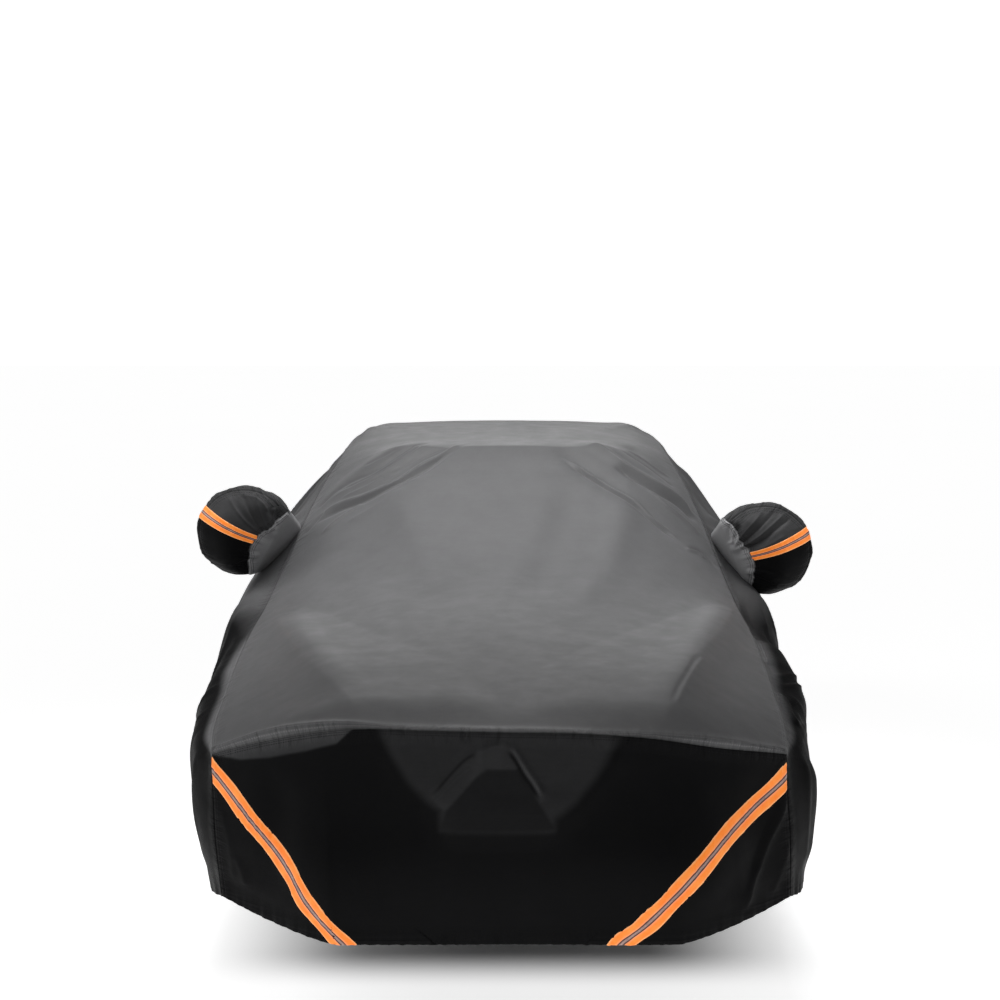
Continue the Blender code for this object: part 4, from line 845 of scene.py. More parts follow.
def front_shade(x, z):
    """Painted highlights and shade of the front sheet, where its relief catches the light."""
    shade = np.zeros_like(x)
    for outline, soft, value in FRONT_GLEAMS:
        away = np.full(x.shape, 9.0)
        inside = np.zeros(x.shape, dtype=bool)
        for (from_x, from_z), (to_x, to_z) in zip(outline, outline[1:] + outline[:1]):
            run_x, run_z = to_x - from_x, to_z - from_z
            part = ((x - from_x) * run_x + (z - from_z) * run_z) / (run_x ** 2 + run_z ** 2)
            part = np.clip(part, 0, 1)
            away = np.minimum(away, np.hypot(x - from_x - part * run_x, z - from_z - part * run_z))
            crosses = (from_z > z) != (to_z > z)
            inside ^= crosses & (x < from_x + (z - from_z) * run_x / (run_z or 1e-9))
        away = np.where(inside, away, -away)
        shade += (value - shade) * ease(away / soft + 0.5)
    for value, width, points in FRONT_LINES:
        near, share, aside = along_line(points, x, z, 4 * width)
        ends = ease(share / 0.2) * ease((1 - share) / 0.2)
        shade[near] += value * np.exp(-(aside / width) ** 2) * ends
    return np.clip(shade, 0, 1)


def build_end(name, middle, station, folds, creases, tents, seed, slot):
    across = seam_steps(1.56, END_STEP if station == 0 else 3 * END_STEP) * 2 - 1
    down = np.linspace(0, 3, FRONT_DOWN if station == 0 else DOWN_STEPS)
    low, over = np.meshgrid(down, across, indexing="ij")
    points = end_point(middle, station, low, over)
    facing = 1 if station == 0 else -1
    normals = grid_normals(points) * facing
    x, z = points[..., 0], points[..., 2]
    seam_off = path_length(points, 0)
    hem_off = seam_off[-1:] - seam_off
    side_off = (1 - np.abs(over)) * 0.78
    lift = fold_lift(folds, x, z) * ease(low / 0.35) * ease((1 - np.abs(over)) / 0.08)
    free = ease(seam_off / 0.010) * ease(side_off / 0.012)
    lift += (crease_lift(creases, x, z) + tent_lift(tents, x, z) + drift_lift(x, z, seed)) * free
    lift += gather_lift("nose" if station == 0 else "tail", x, seam_off) * 0.7
    lift += hem_ripple(x, hem_off, seed) * ease(side_off / 0.02) * 0.7
    off = np.minimum(seam_off, side_off)
    lift += groove(off)
    swing = math.pi / 4 * np.abs(across) ** 4
    inward = np.stack([-np.sign(across) * np.sin(swing), facing * np.cos(swing), 0 * swing], axis=-1)
    sheet = lifted(points, normals, lift)
    relief = relief_of(sheet, normals, facing)
    sheet = with_hem(sheet, inward)
    normals = np.concatenate([normals] + [normals[-1:]] * len(HEM_ROWS))
    shade = 0.0 * x
    if station == 0:
        # Painted light over the nose's turned band, fading down into painted shade, together with the
        # painted highlights of front_shade.
        turn = np.interp(x, [row[0] for row in NOSE_TURN], [row[1] for row in NOSE_TURN])
        turned = ease((turn - seam_off) / 0.010 + 0.5) * np.interp(seam_off, (0.0, 0.045), NOSE_TURN_SHADE)
        shade = np.maximum(turned, front_shade(x, z))
    values = {"seam_off": off, "seam_run": np.where(seam_off < side_off, x, z), "across": x,
              "along": seam_off, "shade": shade, "hem_off": hem_off, "relief": relief}
    values = hem_values(values, len(HEM_ROWS))
    sheet, values = tucked(sheet, normals, values, (True, False, True, True))
    return sheet_object(name, sheet, slot, station == 0, values)


# ---------------------------------------------------------------- materials
class Look:
    """A node material that is put together step by step."""

    def __init__(self, name):
        self.material = bpy.data.materials.new(name)
        self.material.use_nodes = True
        self.tree = self.material.node_tree
        self.shader = self.tree.nodes["Principled BSDF"]
        self.where = self.tree.nodes.new("ShaderNodeTexCoord").outputs["Object"]

    def join(self, value, socket):
        """Sets a socket to a number, or links another socket to it."""
        if isinstance(value, (int, float)):
            socket.default_value = value
        elif isinstance(value, tuple):
            socket.default_value = (*value, 1.0) if len(socket.default_value) == 4 else value
        else:
            self.tree.links.new(value, socket)

    def math(self, operation, *values, clamp=False):
        step = self.tree.nodes.new("ShaderNodeMath")
        step.operation = operation
        step.use_clamp = clamp
        for i, value in enumerate(values):
            self.join(value, step.inputs[i])
        return step.outputs[0]

    def attribute(self, name):
        step = self.tree.nodes.new("ShaderNodeAttribute")
        step.attribute_name = name
        return step.outputs["Fac"]

    def noise(self, stretch, detail=3.0, rough=0.55, seed=0.0, distort=0.0, where=None):
        """Noise between 0 and 1; stretch is its scale along X, Y and Z."""
        place = self.tree.nodes.new("ShaderNodeMapping")
        self.join(where or self.where, place.inputs["Vector"])
        self.join(stretch, place.inputs["Scale"])
        self.join((seed, seed * 0.37, seed * 0.71), place.inputs["Location"])
        step = self.tree.nodes.new("ShaderNodeTexNoise")
        self.join(place.outputs[0], step.inputs["Vector"])
        self.join(1.0, step.inputs["Scale"])
        self.join(detail, step.inputs["Detail"])
        self.join(rough, step.inputs["Roughness"])
        self.join(distort, step.inputs["Distortion"])
        return step.outputs["Fac"]

    def spread(self, value, low, high, to_low=0.0, to_high=1.0, kind="LINEAR"):
        """Change of range, held inside its ends."""
        step = self.tree.nodes.new("ShaderNodeMapRange")
        step.interpolation_type = kind
        for i, number in enumerate((value, low, high, to_low, to_high)):
            self.join(number, step.inputs[i])
        return step.outputs[0]

    def mix(self, share, first, second, kind="MIX"):
        step = self.tree.nodes.new("ShaderNodeMix")
        step.data_type = "RGBA"
        step.blend_type = kind
        self.join(share, step.inputs[0])
        self.join(first, step.inputs[6])
        self.join(second, step.inputs[7])
        return step.outputs[2]

    def scaled(self, colour, amount):
        """A colour made lighter or darker by a factor around 1."""
        step = self.tree.nodes.new("ShaderNodeVectorMath")
        step.operation = "SCALE"
        self.join(colour, step.inputs[0])
        self.join(amount, step.inputs["Scale"])
        return step.outputs[0]

    def bump(self, height, distance, strength=1.0, normal=None):
        step = self.tree.nodes.new("ShaderNodeBump")
        self.join(height, step.inputs["Height"])
        self.join(distance, step.inputs["Distance"])
        self.join(strength, step.inputs["Strength"])
        if normal is not None:
            self.join(normal, step.inputs["Normal"])
        return step.outputs["Normal"]

    def ripple(self, value, pitch, phase=0.0):
        """Sine wave between 0 and 1 along a distance."""
        turn = self.math("MULTIPLY_ADD", value, 2 * math.pi / pitch, phase)
        return self.math("MULTIPLY_ADD", self.math("SINE", turn), 0.5, 0.5)

    def finish(self, colour, roughness, normal, **sockets):
        self.join(colour, self.shader.inputs["Base Color"])
        self.join(roughness, self.shader.inputs["Roughness"])
        self.join(normal, self.shader.inputs["Normal"])
        for name, value in sockets.items():
            self.join(value, self.shader.inputs[name.replace("_", " ")])
        return self.material


COVER_TONE = (0.330, 0.330, 0.337)           # the body's cloth where it laps over a pocket, painted on; its light grey is painted light on the one dark fabric
RELIEF = 1.1                     # strength of the painted light and shade that follow RELIEF_LIGHT
SEAM_PUCKERS = 0.045             # the puckers beside a seam reach this far
HEM_PUCKERS = 0.060
STITCH_OFF = (0.0065, 0.0130)    # the two rows of stitches beside a seam
STITCH_PITCH = 0.0070
STITCH_HALF = 0.0009


def stitches(look):
    """1 on the thread of the rows of stitches beside a seam, 0 elsewhere."""
    off = look.attribute("seam_off")
    run = look.attribute("seam_run")
    rows = None
    for place in STITCH_OFF:
        away = look.math("ABSOLUTE", look.math("SUBTRACT", off, place))
        row = look.spread(away, STITCH_HALF * 0.4, STITCH_HALF * 1.5, 1.0, 0.0)
        rows = row if rows is None else look.math("MAXIMUM", rows, row)
    dashes = look.spread(look.ripple(run, STITCH_PITCH), 0.28, 0.45)
    return look.math("MULTIPLY", rows, dashes)


def puckers(look, normal, tone):
    """Bumps of cloth that is drawn together by a seam or by the hem's elastic, with painted shade in their
    troughs and painted highlights on their crests.
    """
    for off, reach, pitch, depth in (("seam_off", SEAM_PUCKERS, 62.0, 0.32),
                                     ("hem_off", HEM_PUCKERS, 42.0, 0.25)):
        at = look.tree.nodes.new("ShaderNodeCombineXYZ")
        look.join(look.attribute("seam_run"), at.inputs[0])
        look.join(look.attribute(off), at.inputs[1])
        wave = look.noise((pitch, pitch * 0.26, 1.0), 3.0, 0.6, 5.0, 0.5, at.outputs[0])
        near = look.spread(look.attribute(off), 0.002, reach, 1.0, 0.0, "SMOOTHSTEP")
        normal = look.bump(look.math("MULTIPLY", wave, near), 0.0080, 0.9, normal)
        # Painted shade in the puckers' troughs and painted highlights on their crests.
        pucker_shading = look.math("SUBTRACT", look.spread(wave, 0.56, 0.68, 0.0, 0.5), look.spread(wave, 0.44, 0.34))
        pucker_shading = look.math("MULTIPLY", look.math("MULTIPLY", pucker_shading, near), depth)
        tone = look.math("MULTIPLY", tone, look.math("ADD", pucker_shading, 1.0))
    return normal, tone


def cloth(name, high, low, thread, roughness, specular, sheen):
    """Coated woven cloth: high and low are its tones where the sheet's shade is 1 and 0; the step from low
    to high is painted light, as the cloth is one dark fabric that looks paler where it faces up.

    So are the two numbers of specular, where it has two.
    """
    look = Look(name)
    shade = look.attribute("shade")
    if isinstance(specular, tuple):
        specular = look.spread(shade, 0.0, 1.0, *specular)
    base = look.mix(shade, low, high)
    # The lapped body cloth is painted on the pockets in COVER_TONE, a light grey that is painted light.
    base = look.mix(look.attribute("cover"), base, COVER_TONE)
    cloud = look.noise((3.2, 2.4, 3.6), 4.0, 0.6, 1.0)
    streak = look.noise((9.0, 150.0, 150.0), 3.0, 0.65, 4.0)
    speck = look.noise((420.0, 420.0, 420.0), 2.0, 0.6, 7.0)
    dust = look.noise((28.0, 28.0, 28.0), 5.0, 0.7, 11.0)
    tone = look.spread(cloud, 0.3, 0.7, 0.93, 1.07)
    tone = look.math("MULTIPLY", tone, look.spread(streak, 0.3, 0.7, 0.97, 1.03))
    tone = look.math("MULTIPLY", tone, look.spread(speck, 0.25, 0.75, 0.93, 1.07))
    tone = look.math("MULTIPLY", tone, look.spread(dust, 0.35, 0.75, 0.98, 1.05))
    off = look.attribute("seam_off")
    # Painted shade: the cloth is darker in the last few millimetres at each seam and along the edge of the
    # lapped cloth on the pockets.
    tone = look.math("MULTIPLY", tone, look.spread(off, 0.0006, 0.0030, 0.42, 1.0))
    # Painted light and shade on the folds, after RELIEF_LIGHT.
    tone = look.math("MULTIPLY", tone, look.math("MULTIPLY_ADD", look.attribute("relief"), RELIEF, 1.0))
    crinkle = look.noise((55.0, 70.0, 60.0), 4.0, 0.62, 9.0, 0.6)
    slack = look.noise((11.0, 16.0, 12.0), 3.0, 0.5, 13.0, 0.3)
    normal = look.bump(crinkle, 0.0008, 0.35)
    normal = look.bump(slack, 0.0025, 0.15, normal)
    normal, tone = puckers(look, normal, tone)
    base = look.scaled(base, tone)
    thread_on = stitches(look)
    base = look.mix(thread_on, base, thread)
    rough = look.spread(look.noise((14.0, 14.0, 14.0), 4.0, 0.6, 3.0), 0.3, 0.7,
                        roughness - 0.06, roughness + 0.07)
    weave = look.math("MULTIPLY", look.ripple(look.attribute("across"), 0.0016),
                      look.ripple(look.attribute("along"), 0.0016))
    normal = look.bump(weave, 0.00022, 0.5, normal)
    normal = look.bump(thread_on, 0.0007, 0.8, normal)
    return look.finish(base, rough, normal, Specular_IOR_Level=specular,
                       Sheen_Weight=sheen, Sheen_Roughness=0.45)


TAPE_GLOW = 0.35                 # painted glow: the fluorescent dye gives back more light than it reflects, shown as a steady glow that shines lit or not
TAPE_STRIPE = 0.165              # half-width of the reflective stripe, 1 at the tape's edge
TAPE_LINE = 0.060                # half-width of the dark line at each side of it


def tape_look():
    """Fluorescent orange tape with a grey glass-bead stripe between two dark lines."""
    look = Look("reflective_tape")
    over = look.math("ABSOLUTE", look.attribute("tape_over"))
    along = look.attribute("tape_along")
    cloud = look.noise((26.0, 26.0, 26.0), 4.0, 0.65, 2.0)
    fleck = look.noise((300.0, 300.0, 300.0), 2.0, 0.5, 5.0)
    orange = look.mix(look.spread(cloud, 0.32, 0.68), (1.0, 0.21, 0.016), (1.0, 0.30, 0.045))
    orange = look.mix(look.spread(over, 0.80, 1.0), orange, (1.0, 0.48, 0.20))
    orange = look.mix(look.spread(over, TAPE_STRIPE + TAPE_LINE, 0.42, 0.55, 0.0), orange, (1.0, 0.42, 0.26))
    orange = look.scaled(orange, look.spread(fleck, 0.25, 0.75, 0.92, 1.06))
    grey = look.mix(look.spread(cloud, 0.3, 0.7), (0.42, 0.27, 0.24), (0.56, 0.39, 0.36))
    grey = look.scaled(grey, look.spread(fleck, 0.25, 0.75, 0.75, 1.25))
    stripe = look.spread(over, TAPE_STRIPE - 0.02, TAPE_STRIPE + 0.02, 1.0, 0.0)
    line = look.math("ABSOLUTE", look.math("SUBTRACT", over, TAPE_STRIPE))
    line = look.spread(line, TAPE_LINE * 0.6, TAPE_LINE * 1.5, 1.0, 0.0)
    base = look.mix(stripe, orange, grey)
    base = look.mix(line, base, (0.085, 0.036, 0.032))
    rough = look.spread(stripe, 0.0, 1.0, 0.48, 0.30)
    rough = look.math("ADD", rough, look.spread(fleck, 0.3, 0.7, -0.04, 0.06))
    ribs = look.ripple(along, 0.0022)
    weave = look.math("MULTIPLY", ribs, look.ripple(look.attribute("tape_over"), 0.075))
    normal = look.bump(weave, 0.0003, 0.6)
    normal = look.bump(look.noise((90.0, 90.0, 90.0), 3.0, 0.6, 8.0), 0.0008, 0.4, normal)
    # Painted glow of the orange tape, outside the stripe and its lines.
    glow = look.scaled(base, look.math("SUBTRACT", 1.0, look.math("MAXIMUM", stripe, line)))
    return look.finish(base, rough, normal, Specular_IOR_Level=0.35,
                       Emission_Color=glow, Emission_Strength=TAPE_GLOW)


def woven(name, dark, light, pitch, roughness):
    """Plain black webbing, zip tape or braid with a raised weave."""
    look = Look(name)
    place = look.tree.nodes.new("ShaderNodeSeparateXYZ")
    look.join(look.where, place.inputs[0])
    first = look.math("ADD", place.outputs[1], place.outputs[2])
    second = look.math("SUBTRACT", place.outputs[1], place.outputs[2])
    ribs = look.math("MAXIMUM", look.ripple(first, pitch), look.ripple(second, pitch))
    wear = look.noise((120.0, 120.0, 120.0), 4.0, 0.6, 3.0)
    base = look.mix(look.math("MULTIPLY", ribs, wear), dark, light)
    rough = look.spread(wear, 0.3, 0.7, roughness - 0.06, roughness + 0.08)
    normal = look.bump(ribs, pitch * 0.2, 0.7)
    normal = look.bump(wear, 0.0004, 0.4, normal)
    return look.finish(base, rough, normal, Specular_IOR_Level=0.25, Sheen_Weight=0.1)


def plastic(name):
    """Moulded black plastic with a fine grain and uneven wear."""
    look = Look(name)
    grain = look.noise((900.0, 900.0, 900.0), 3.0, 0.6, 1.0)
    wear = look.noise((60.0, 60.0, 60.0), 4.0, 0.6, 5.0)
    base = look.mix(wear, (0.010, 0.010, 0.011), (0.028, 0.028, 0.029))
    rough = look.spread(wear, 0.3, 0.7, 0.30, 0.46)
    return look.finish(base, rough, look.bump(grain, 0.0002, 0.4), Specular_IOR_Level=0.5)


FLOOR_GLOW = 0.80                # the floor is lit from below, as a light table is
# Painted shadow: the floor's glow fades out under the cover.
FLOOR_SHADOW = ((1, -2.16, -1.77), (1, 2.30, 2.00), (0, 1.05, 0.40), (0, -1.02, -0.40))


def floor_look():
    """Pale studio floor, barely mottled; its glow is taken away under the cover as a painted shadow.

    A row of FLOOR_SHADOW is an axis, the place where the glow is full and where it ends.
    """
    look = Look("studio_floor")
    place = look.tree.nodes.new("ShaderNodeSeparateXYZ")
    look.join(look.where, place.inputs[0])
    dark = None
    for axis, full, none in FLOOR_SHADOW:
        low, high, start = (full, none, 0.0) if full < none else (none, full, 1.0)
        share = look.spread(place.outputs[axis], low, high, start, 1.0 - start, "SMOOTHSTEP")
        dark = share if dark is None else look.math("MULTIPLY", dark, share)
    # The glow is taken away where the painted shadow lies.
    glow = look.math("MULTIPLY", look.math("SUBTRACT", 1.0, dark), FLOOR_GLOW)
    cloud = look.noise((0.5, 0.5, 0.5), 3.0, 0.5, 1.0)
    base = look.mix(cloud, (0.86, 0.86, 0.86), (0.90, 0.90, 0.90))
    return look.finish(base, look.spread(cloud, 0.3, 0.7, 0.75, 0.85),
                       look.bump(look.noise((60.0, 60.0, 60.0)), 0.0005, 0.1), Specular_IOR_Level=0.1,
                       Emission_Color=(1.0, 1.0, 1.0), Emission_Strength=glow)


# top_cloth, side_cloth and black_cloth stand for one dark fabric: the grey of top_cloth and the high tones
# of side_cloth and black_cloth are painted light of faces that look up, set against the near-black low
# tones, and the thread tones differ in the same way.
MATERIALS = {
    "top_cloth": cloth("top_cloth", (0.105, 0.105, 0.108), (0.105, 0.105, 0.108),
                       (0.16, 0.16, 0.165), 0.50, 0.32, 0.04),
    "side_cloth": cloth("side_cloth", (0.200, 0.200, 0.205), (0.0044, 0.0044, 0.0047),
                        (0.020, 0.020, 0.021), 0.50, (0.03, 0.22), 0.0),
    "black_cloth": cloth("black_cloth", (0.090, 0.090, 0.093), (0.0065, 0.0065, 0.0069),
                         (0.010, 0.010, 0.011), 0.52, (0.03, 0.10), 0.0),
    "zip_tape": woven("zip_tape", (0.006, 0.006, 0.006), (0.020, 0.020, 0.020), 0.0016, 0.6),
    "reflective_tape": tape_look(),
    "webbing": woven("webbing", (0.008, 0.008, 0.008), (0.032, 0.032, 0.032), 0.0024, 0.7),
    "black_plastic": plastic("black_plastic"),
    "tie_cord": woven("tie_cord", (0.008, 0.008, 0.008), (0.036, 0.036, 0.036), 0.0018, 0.75),
}


# ---------------------------------------------------------------- tapes, pockets, zip, strap and tie
TAPE_LINES = {
    "left": ((-0.840, 0.742), (-0.798, 0.698), (-0.692, 0.591), (-0.578, 0.479),
             (-0.520, 0.388), (-0.424, 0.285), (-0.388, 0.235)),
    "right": ((0.830, 0.725), (0.765, 0.665), (0.588, 0.543), (0.464, 0.425),
              (0.382, 0.340), (0.313, 0.280), (0.275, 0.230)),
}
TAPE_WAVE = 0.0022
TAPE_RAISE = 0.0011              # the tape's face above the cloth
TAPE_ROWS = 330
TAPE_SIDE = (1.0, 0.985, 0.93, 0.80, 0.62, 0.44, 0.28, 0.12)


def symmetric(sides):
    """A list of places from 1 down to near 0 with its mirror image."""
    return np.array([-side for side in sides] + [side for side in reversed(sides)])


def tape_lift(over, along, seed):
    """Height of a sewn tape: thin edges, a soft crown and puckers across it."""
    lift = TAPE_RAISE * (1 - np.abs(over) ** 14) - 0.0004 * np.abs(over) ** 14
    random = np.random.default_rng(seed)
    for _ in range(int(np.ptp(along) / 0.014)):
        place = random.uniform(along.min(), along.max())
        width = random.uniform(0.003, 0.008)
        slant = random.normal(0, 0.006)
        size = random.uniform(-0.0011, 0.0016)
        reach = np.clip(np.abs(over - random.uniform(-0.8, 0.8)) / random.uniform(0.6, 1.5), 0, 1)
        lift += size * np.exp(-((along - place - slant * over) / width) ** 2) * (1 - reach ** 2)
    return lift


def cast(tree, x, y, z, direction):
    """Point and normal where a ray meets a sheet, in the working frame."""
    start = Vector((x, y, z)) - Vector(ORIGIN)
    point, normal, _, _ = tree.ray_cast(start, Vector(direction))
    if point is None:
        return None, None
    return np.array(point) + ORIGIN, np.array(normal)


def tree_of(piece):
    """Search tree over a mesh piece."""
    mesh = piece.data
    corners = [vertex.co.copy() for vertex in mesh.vertices]
    return BVHTree.FromPolygons(corners, [tuple(face.vertices) for face in mesh.polygons])


def build_front_tape(side, panel_tree, phase):
    """A tape laid on the front sheet, following every crease below it."""
    line = TAPE_LINES[side]
    place = np.linspace(0, len(line) - 1, TAPE_ROWS)
    middle = np.stack([smooth([p[i] for p in line], place) for i in (0, 1)], axis=1)
    run = np.gradient(middle, axis=0)
    run = run / np.linalg.norm(run, axis=1)[:, None]
    aside = np.stack([-run[:, 1], run[:, 0]], axis=1)
    over = symmetric(TAPE_SIDE)
    points = np.full((TAPE_ROWS, len(over), 3), np.nan)
    normals = np.zeros_like(points)
    for col, share in enumerate(over):
        wave = TAPE_WAVE * np.sin(place * (5.1 if share > 0 else 6.3) + phase + (0 if share > 0 else 1.7))
        half = TAPE_WIDTHS[side] / 2 + wave
        spots = middle + aside * (half * share)[:, None]
        for row, (x, z) in enumerate(spots):
            point, normal = cast(panel_tree, x, -3.0, z, (0.0, 1.0, 0.0))
            if point is not None and normal[1] < -0.12:
                points[row, col] = point
                normals[row, col] = normal
    points, normals = trimmed(points, normals)
    along = path_length(points, 0)
    lift = tape_lift(np.broadcast_to(over, along.shape), along, 31 + int(side == "right"))
    values = {"tape_over": np.broadcast_to(over, along.shape), "tape_along": along}
    piece = sheet_object("front_tape_sheet_" + side, points + normals * lift[..., None],
                         "reflective_tape", False, values)
    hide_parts("front_tape_" + side)
    return piece


def trimmed(points, normals):
    """Gives every column its own ends, where the panel below it ends."""
    rows, cols = points.shape[:2]
    new_points = np.zeros_like(points)
    new_normals = np.zeros_like(normals)
    for col in range(cols):
        there = np.flatnonzero(~np.isnan(points[:, col, 0]))
        place = np.linspace(there[0], there[-1], rows)
        for axis in range(3):
            new_points[:, col, axis] = np.interp(place, there, points[there, col, axis])
            new_normals[:, col, axis] = np.interp(place, there, normals[there, col, axis])
    return new_points, new_normals


POCKETS = {
    "left": ((-0.860, 1.800, 1.169), 0.153, 28.0),
    "right": ((0.874, 1.800, 1.110), 0.157, 22.0),
}
POCKET_ANGLE = 128.0
POCKET_TAPE = 0.046
POCKET_TAPE_END = 1.25
POCKET_DEPTH = 0.062
POCKET_BLUNT = 0.65
MOUTH_DEPTH = 0.075
POCKET_SWEEP = 0.120
NECK_BACK = 0.190
NECK_IN = 0.035
NECK_DROP = (0.095, 0.015)
POCKET_FOLDS = (
    (-0.10, 0.02, 0.02, 0.13, 0.01, 0.014, 0.006),
    (-0.10, 0.01, 0.09, 0.10, -0.01, 0.014, -0.005),
    (-0.09, 0.03, -0.05, 0.12, 0.00, 0.013, -0.005),
    (-0.08, -0.04, 0.05, -0.12, 0.01, 0.018, 0.005),
    (-0.08, -0.06, 0.00, -0.13, 0.00, 0.014, -0.004),
)
# Creases on a pocket's faces: outward and up from the middle of its disc.
POCKET_CREASES = {
    "left": (
        (0.0050, 0.007, 0.006, ((-0.080, 0.030), (-0.030, 0.075), (0.010, 0.115), (0.030, 0.140))),
        (-0.0045, 0.006, 0.007, ((-0.080, 0.022), (-0.020, 0.060), (0.035, 0.100), (0.060, 0.120))),
        (0.0040, 0.006, 0.006, ((-0.080, 0.016), (-0.010, 0.040), (0.060, 0.070), (0.100, 0.090))),
        (0.0045, 0.005, 0.007, ((-0.085, 0.045), (-0.065, 0.085), (-0.050, 0.125))),
        (-0.0040, 0.005, 0.005, ((-0.085, 0.052), (-0.078, 0.090), (-0.070, 0.115))),
        (0.0035, 0.006, 0.006, ((-0.040, 0.100), (-0.010, 0.118), (0.030, 0.122), (0.070, 0.108))),
        (-0.0035, 0.007, 0.007, ((-0.080, -0.030), (-0.020, -0.060), (0.040, -0.110))),
        (0.0035, 0.008, 0.006, ((-0.080, -0.040), (-0.040, -0.080), (-0.010, -0.125))),
    ),
    "right": (
        (0.0060, 0.006, 0.007, ((-0.090, 0.030), (-0.020, 0.052), (0.050, 0.078), (0.110, 0.095))),
        (-0.0055, 0.007, 0.006, ((-0.090, 0.024), (-0.010, 0.040), (0.060, 0.062), (0.125, 0.075))),
        (0.0045, 0.005, 0.006, ((-0.088, 0.040), (-0.040, 0.080), (0.010, 0.110), (0.050, 0.135))),
        (-0.0045, 0.006, 0.005, ((-0.088, 0.034), (-0.030, 0.066), (0.030, 0.095), (0.085, 0.115))),
        (0.0045, 0.006, 0.006, ((-0.090, 0.050), (-0.070, 0.090), (-0.040, 0.135))),
        (-0.0040, 0.005, 0.005, ((-0.092, 0.056), (-0.086, 0.090), (-0.068, 0.125))),
        (0.0035, 0.006, 0.006, ((-0.080, 0.014), (0.000, 0.020), (0.080, 0.034))),
        (-0.0035, 0.007, 0.007, ((-0.080, -0.030), (-0.010, -0.064), (0.050, -0.115))),
        (0.0035, 0.008, 0.006, ((-0.080, -0.042), (-0.030, -0.090), (0.000, -0.130))),
    ),
}
POCKET_RIM_WAVE = 0.0020         # unevenness of the sewn rim
# Edge of the body's cloth, which laps over each pocket's root: x and z, downward.
POCKET_COVERS = {
    "left": ((-0.690, 1.270), (-0.707, 1.2415), (-0.737, 1.218), (-0.791, 1.175), (-0.812, 1.159),
             (-0.839, 1.117), (-0.8485, 1.041), (-0.855, 1.000)),
    "right": ((0.715, 1.250), (0.739, 1.212), (0.774, 1.188), (0.801, 1.138), (0.831, 1.092),
              (0.843, 1.058), (0.840, 1.000), (0.834, 0.928)),
}
COVER_STEP = 0.004               # the lapped cloth stands this much above the pocket


def pocket_grid(side, turns, across):
    """Points and outward, upward places of a pocket at angles and columns."""
    centre, radius, slope = POCKETS[side]
    sign = 1 if side == "right" else -1
    slope = math.radians(slope)
    outward = np.array((sign * math.cos(slope), 0.0, math.sin(slope)))
    upward = np.array((-sign * math.sin(slope), 0.0, math.cos(slope)))
    turn, over = np.meshgrid(np.radians(turns), across, indexing="ij")
    part = np.minimum(np.abs(over), 1.0)
    share = (POCKET_ANGLE - np.degrees(turn)) / (2 * POCKET_ANGLE)
    full = np.maximum(np.sin(math.pi * np.clip(share, 0, 1)), 0.0) ** POCKET_BLUNT
    mouth_out = radius * math.cos(math.radians(POCKET_ANGLE))
    mouth_up = radius * math.sin(math.radians(POCKET_ANGLE)) * np.cos(math.pi * share)
    wave = 1 + POCKET_RIM_WAVE / radius * np.sin(turn * 9 + len(side)) * (1 - part)
    flat_out = radius * wave * np.cos(turn) * (1 - part) + mouth_out * part
    flat_up = radius * wave * np.sin(turn) * (1 - part) + mouth_up * part
    depth = MOUTH_DEPTH * full * np.sqrt(part) + POCKET_DEPTH * full * np.sin(math.pi * part)
    inner = (radius - flat_out) / (radius - mouth_out)
    back = POCKET_SWEEP * inner ** 2 + np.copysign(depth, over)
    points = (np.array(centre) + outward * flat_out[..., None] + upward * flat_up[..., None]
              + np.array((0.0, 1.0, 0.0)) * back[..., None])
    drop = NECK_DROP[0] + (NECK_DROP[1] - NECK_DROP[0]) * share
    past = np.maximum(np.abs(over) - 1.0, 0.0)
    neck = np.stack([-sign * NECK_IN + 0 * drop, NECK_BACK + 0 * drop, -drop], axis=-1)
    points = points + neck * past[..., None]
    return points, flat_out, flat_up, np.minimum(full * 2, 1.0) * (past == 0)


def clear_of_cover(side, points):
    """Distance from the edge of the lapped cloth, below zero under it."""
    _, _, aside = along_line(POCKET_COVERS[side], points[..., 0], points[..., 2], 9.0)
    return aside.reshape(points.shape[:2]) * (1 if side == "right" else -1)


def pocket_sheet(side, turns, across):
    """Lifted points of a pocket and the distances that its material needs."""
    points, out, up, full = pocket_grid(side, turns, across)
    sign = 1 if side == "right" else -1
    normals = grid_normals(points) * sign
    lift = fold_lift(POCKET_FOLDS, out, up) * full
    lift += crease_lift(POCKET_CREASES[side], out, up) * full
    lift += 0.0012 * drift(out * 3, up * 3, 0.12, 40 + sign) * full
    over = np.abs(np.broadcast_to(across, out.shape))
    rim = POCKETS[side][1] * (1 - np.hypot(out, up) / POCKETS[side][1])
    rim = np.abs(rim) + np.where(over > 0.6, 1.0, 0.0)
    turn = np.radians(turns)[:, None] * POCKETS[side][1]
    random = np.random.default_rng(50 + sign)
    for _ in range(44):
        place = random.uniform(-0.34, 0.34)
        width = random.uniform(0.003, 0.007)
        size = random.uniform(-0.0012, 0.0022)
        lift += (size * np.exp(-((turn - place - random.normal(0, 0.3) * rim) / width) ** 2)
                 * np.exp(-(rim / random.uniform(0.010, 0.030)) ** 2)) * full
    lift -= 0.0012 * np.exp(-((rim - 0.010) / 0.003) ** 2)
    free = clear_of_cover(side, points)
    lift += COVER_STEP * ease(-free / 0.005) * full
    sheet = points + normals * (lift + CLOTH / 2)[..., None]
    relief = relief_of(sheet, normals, sign)
    return sheet, rim, np.broadcast_to(turn, rim.shape), out, up, free, relief


POCKET_TURN_STEP = 1.15          # degrees
POCKET_COLUMNS = 84
POCKET_TAPE_RAISE = 0.0012       # more height for the tape that bridges the pocket's seam
TAPE_UNDER = 0.002               # the pocket's tape ends this far under the lapped cloth


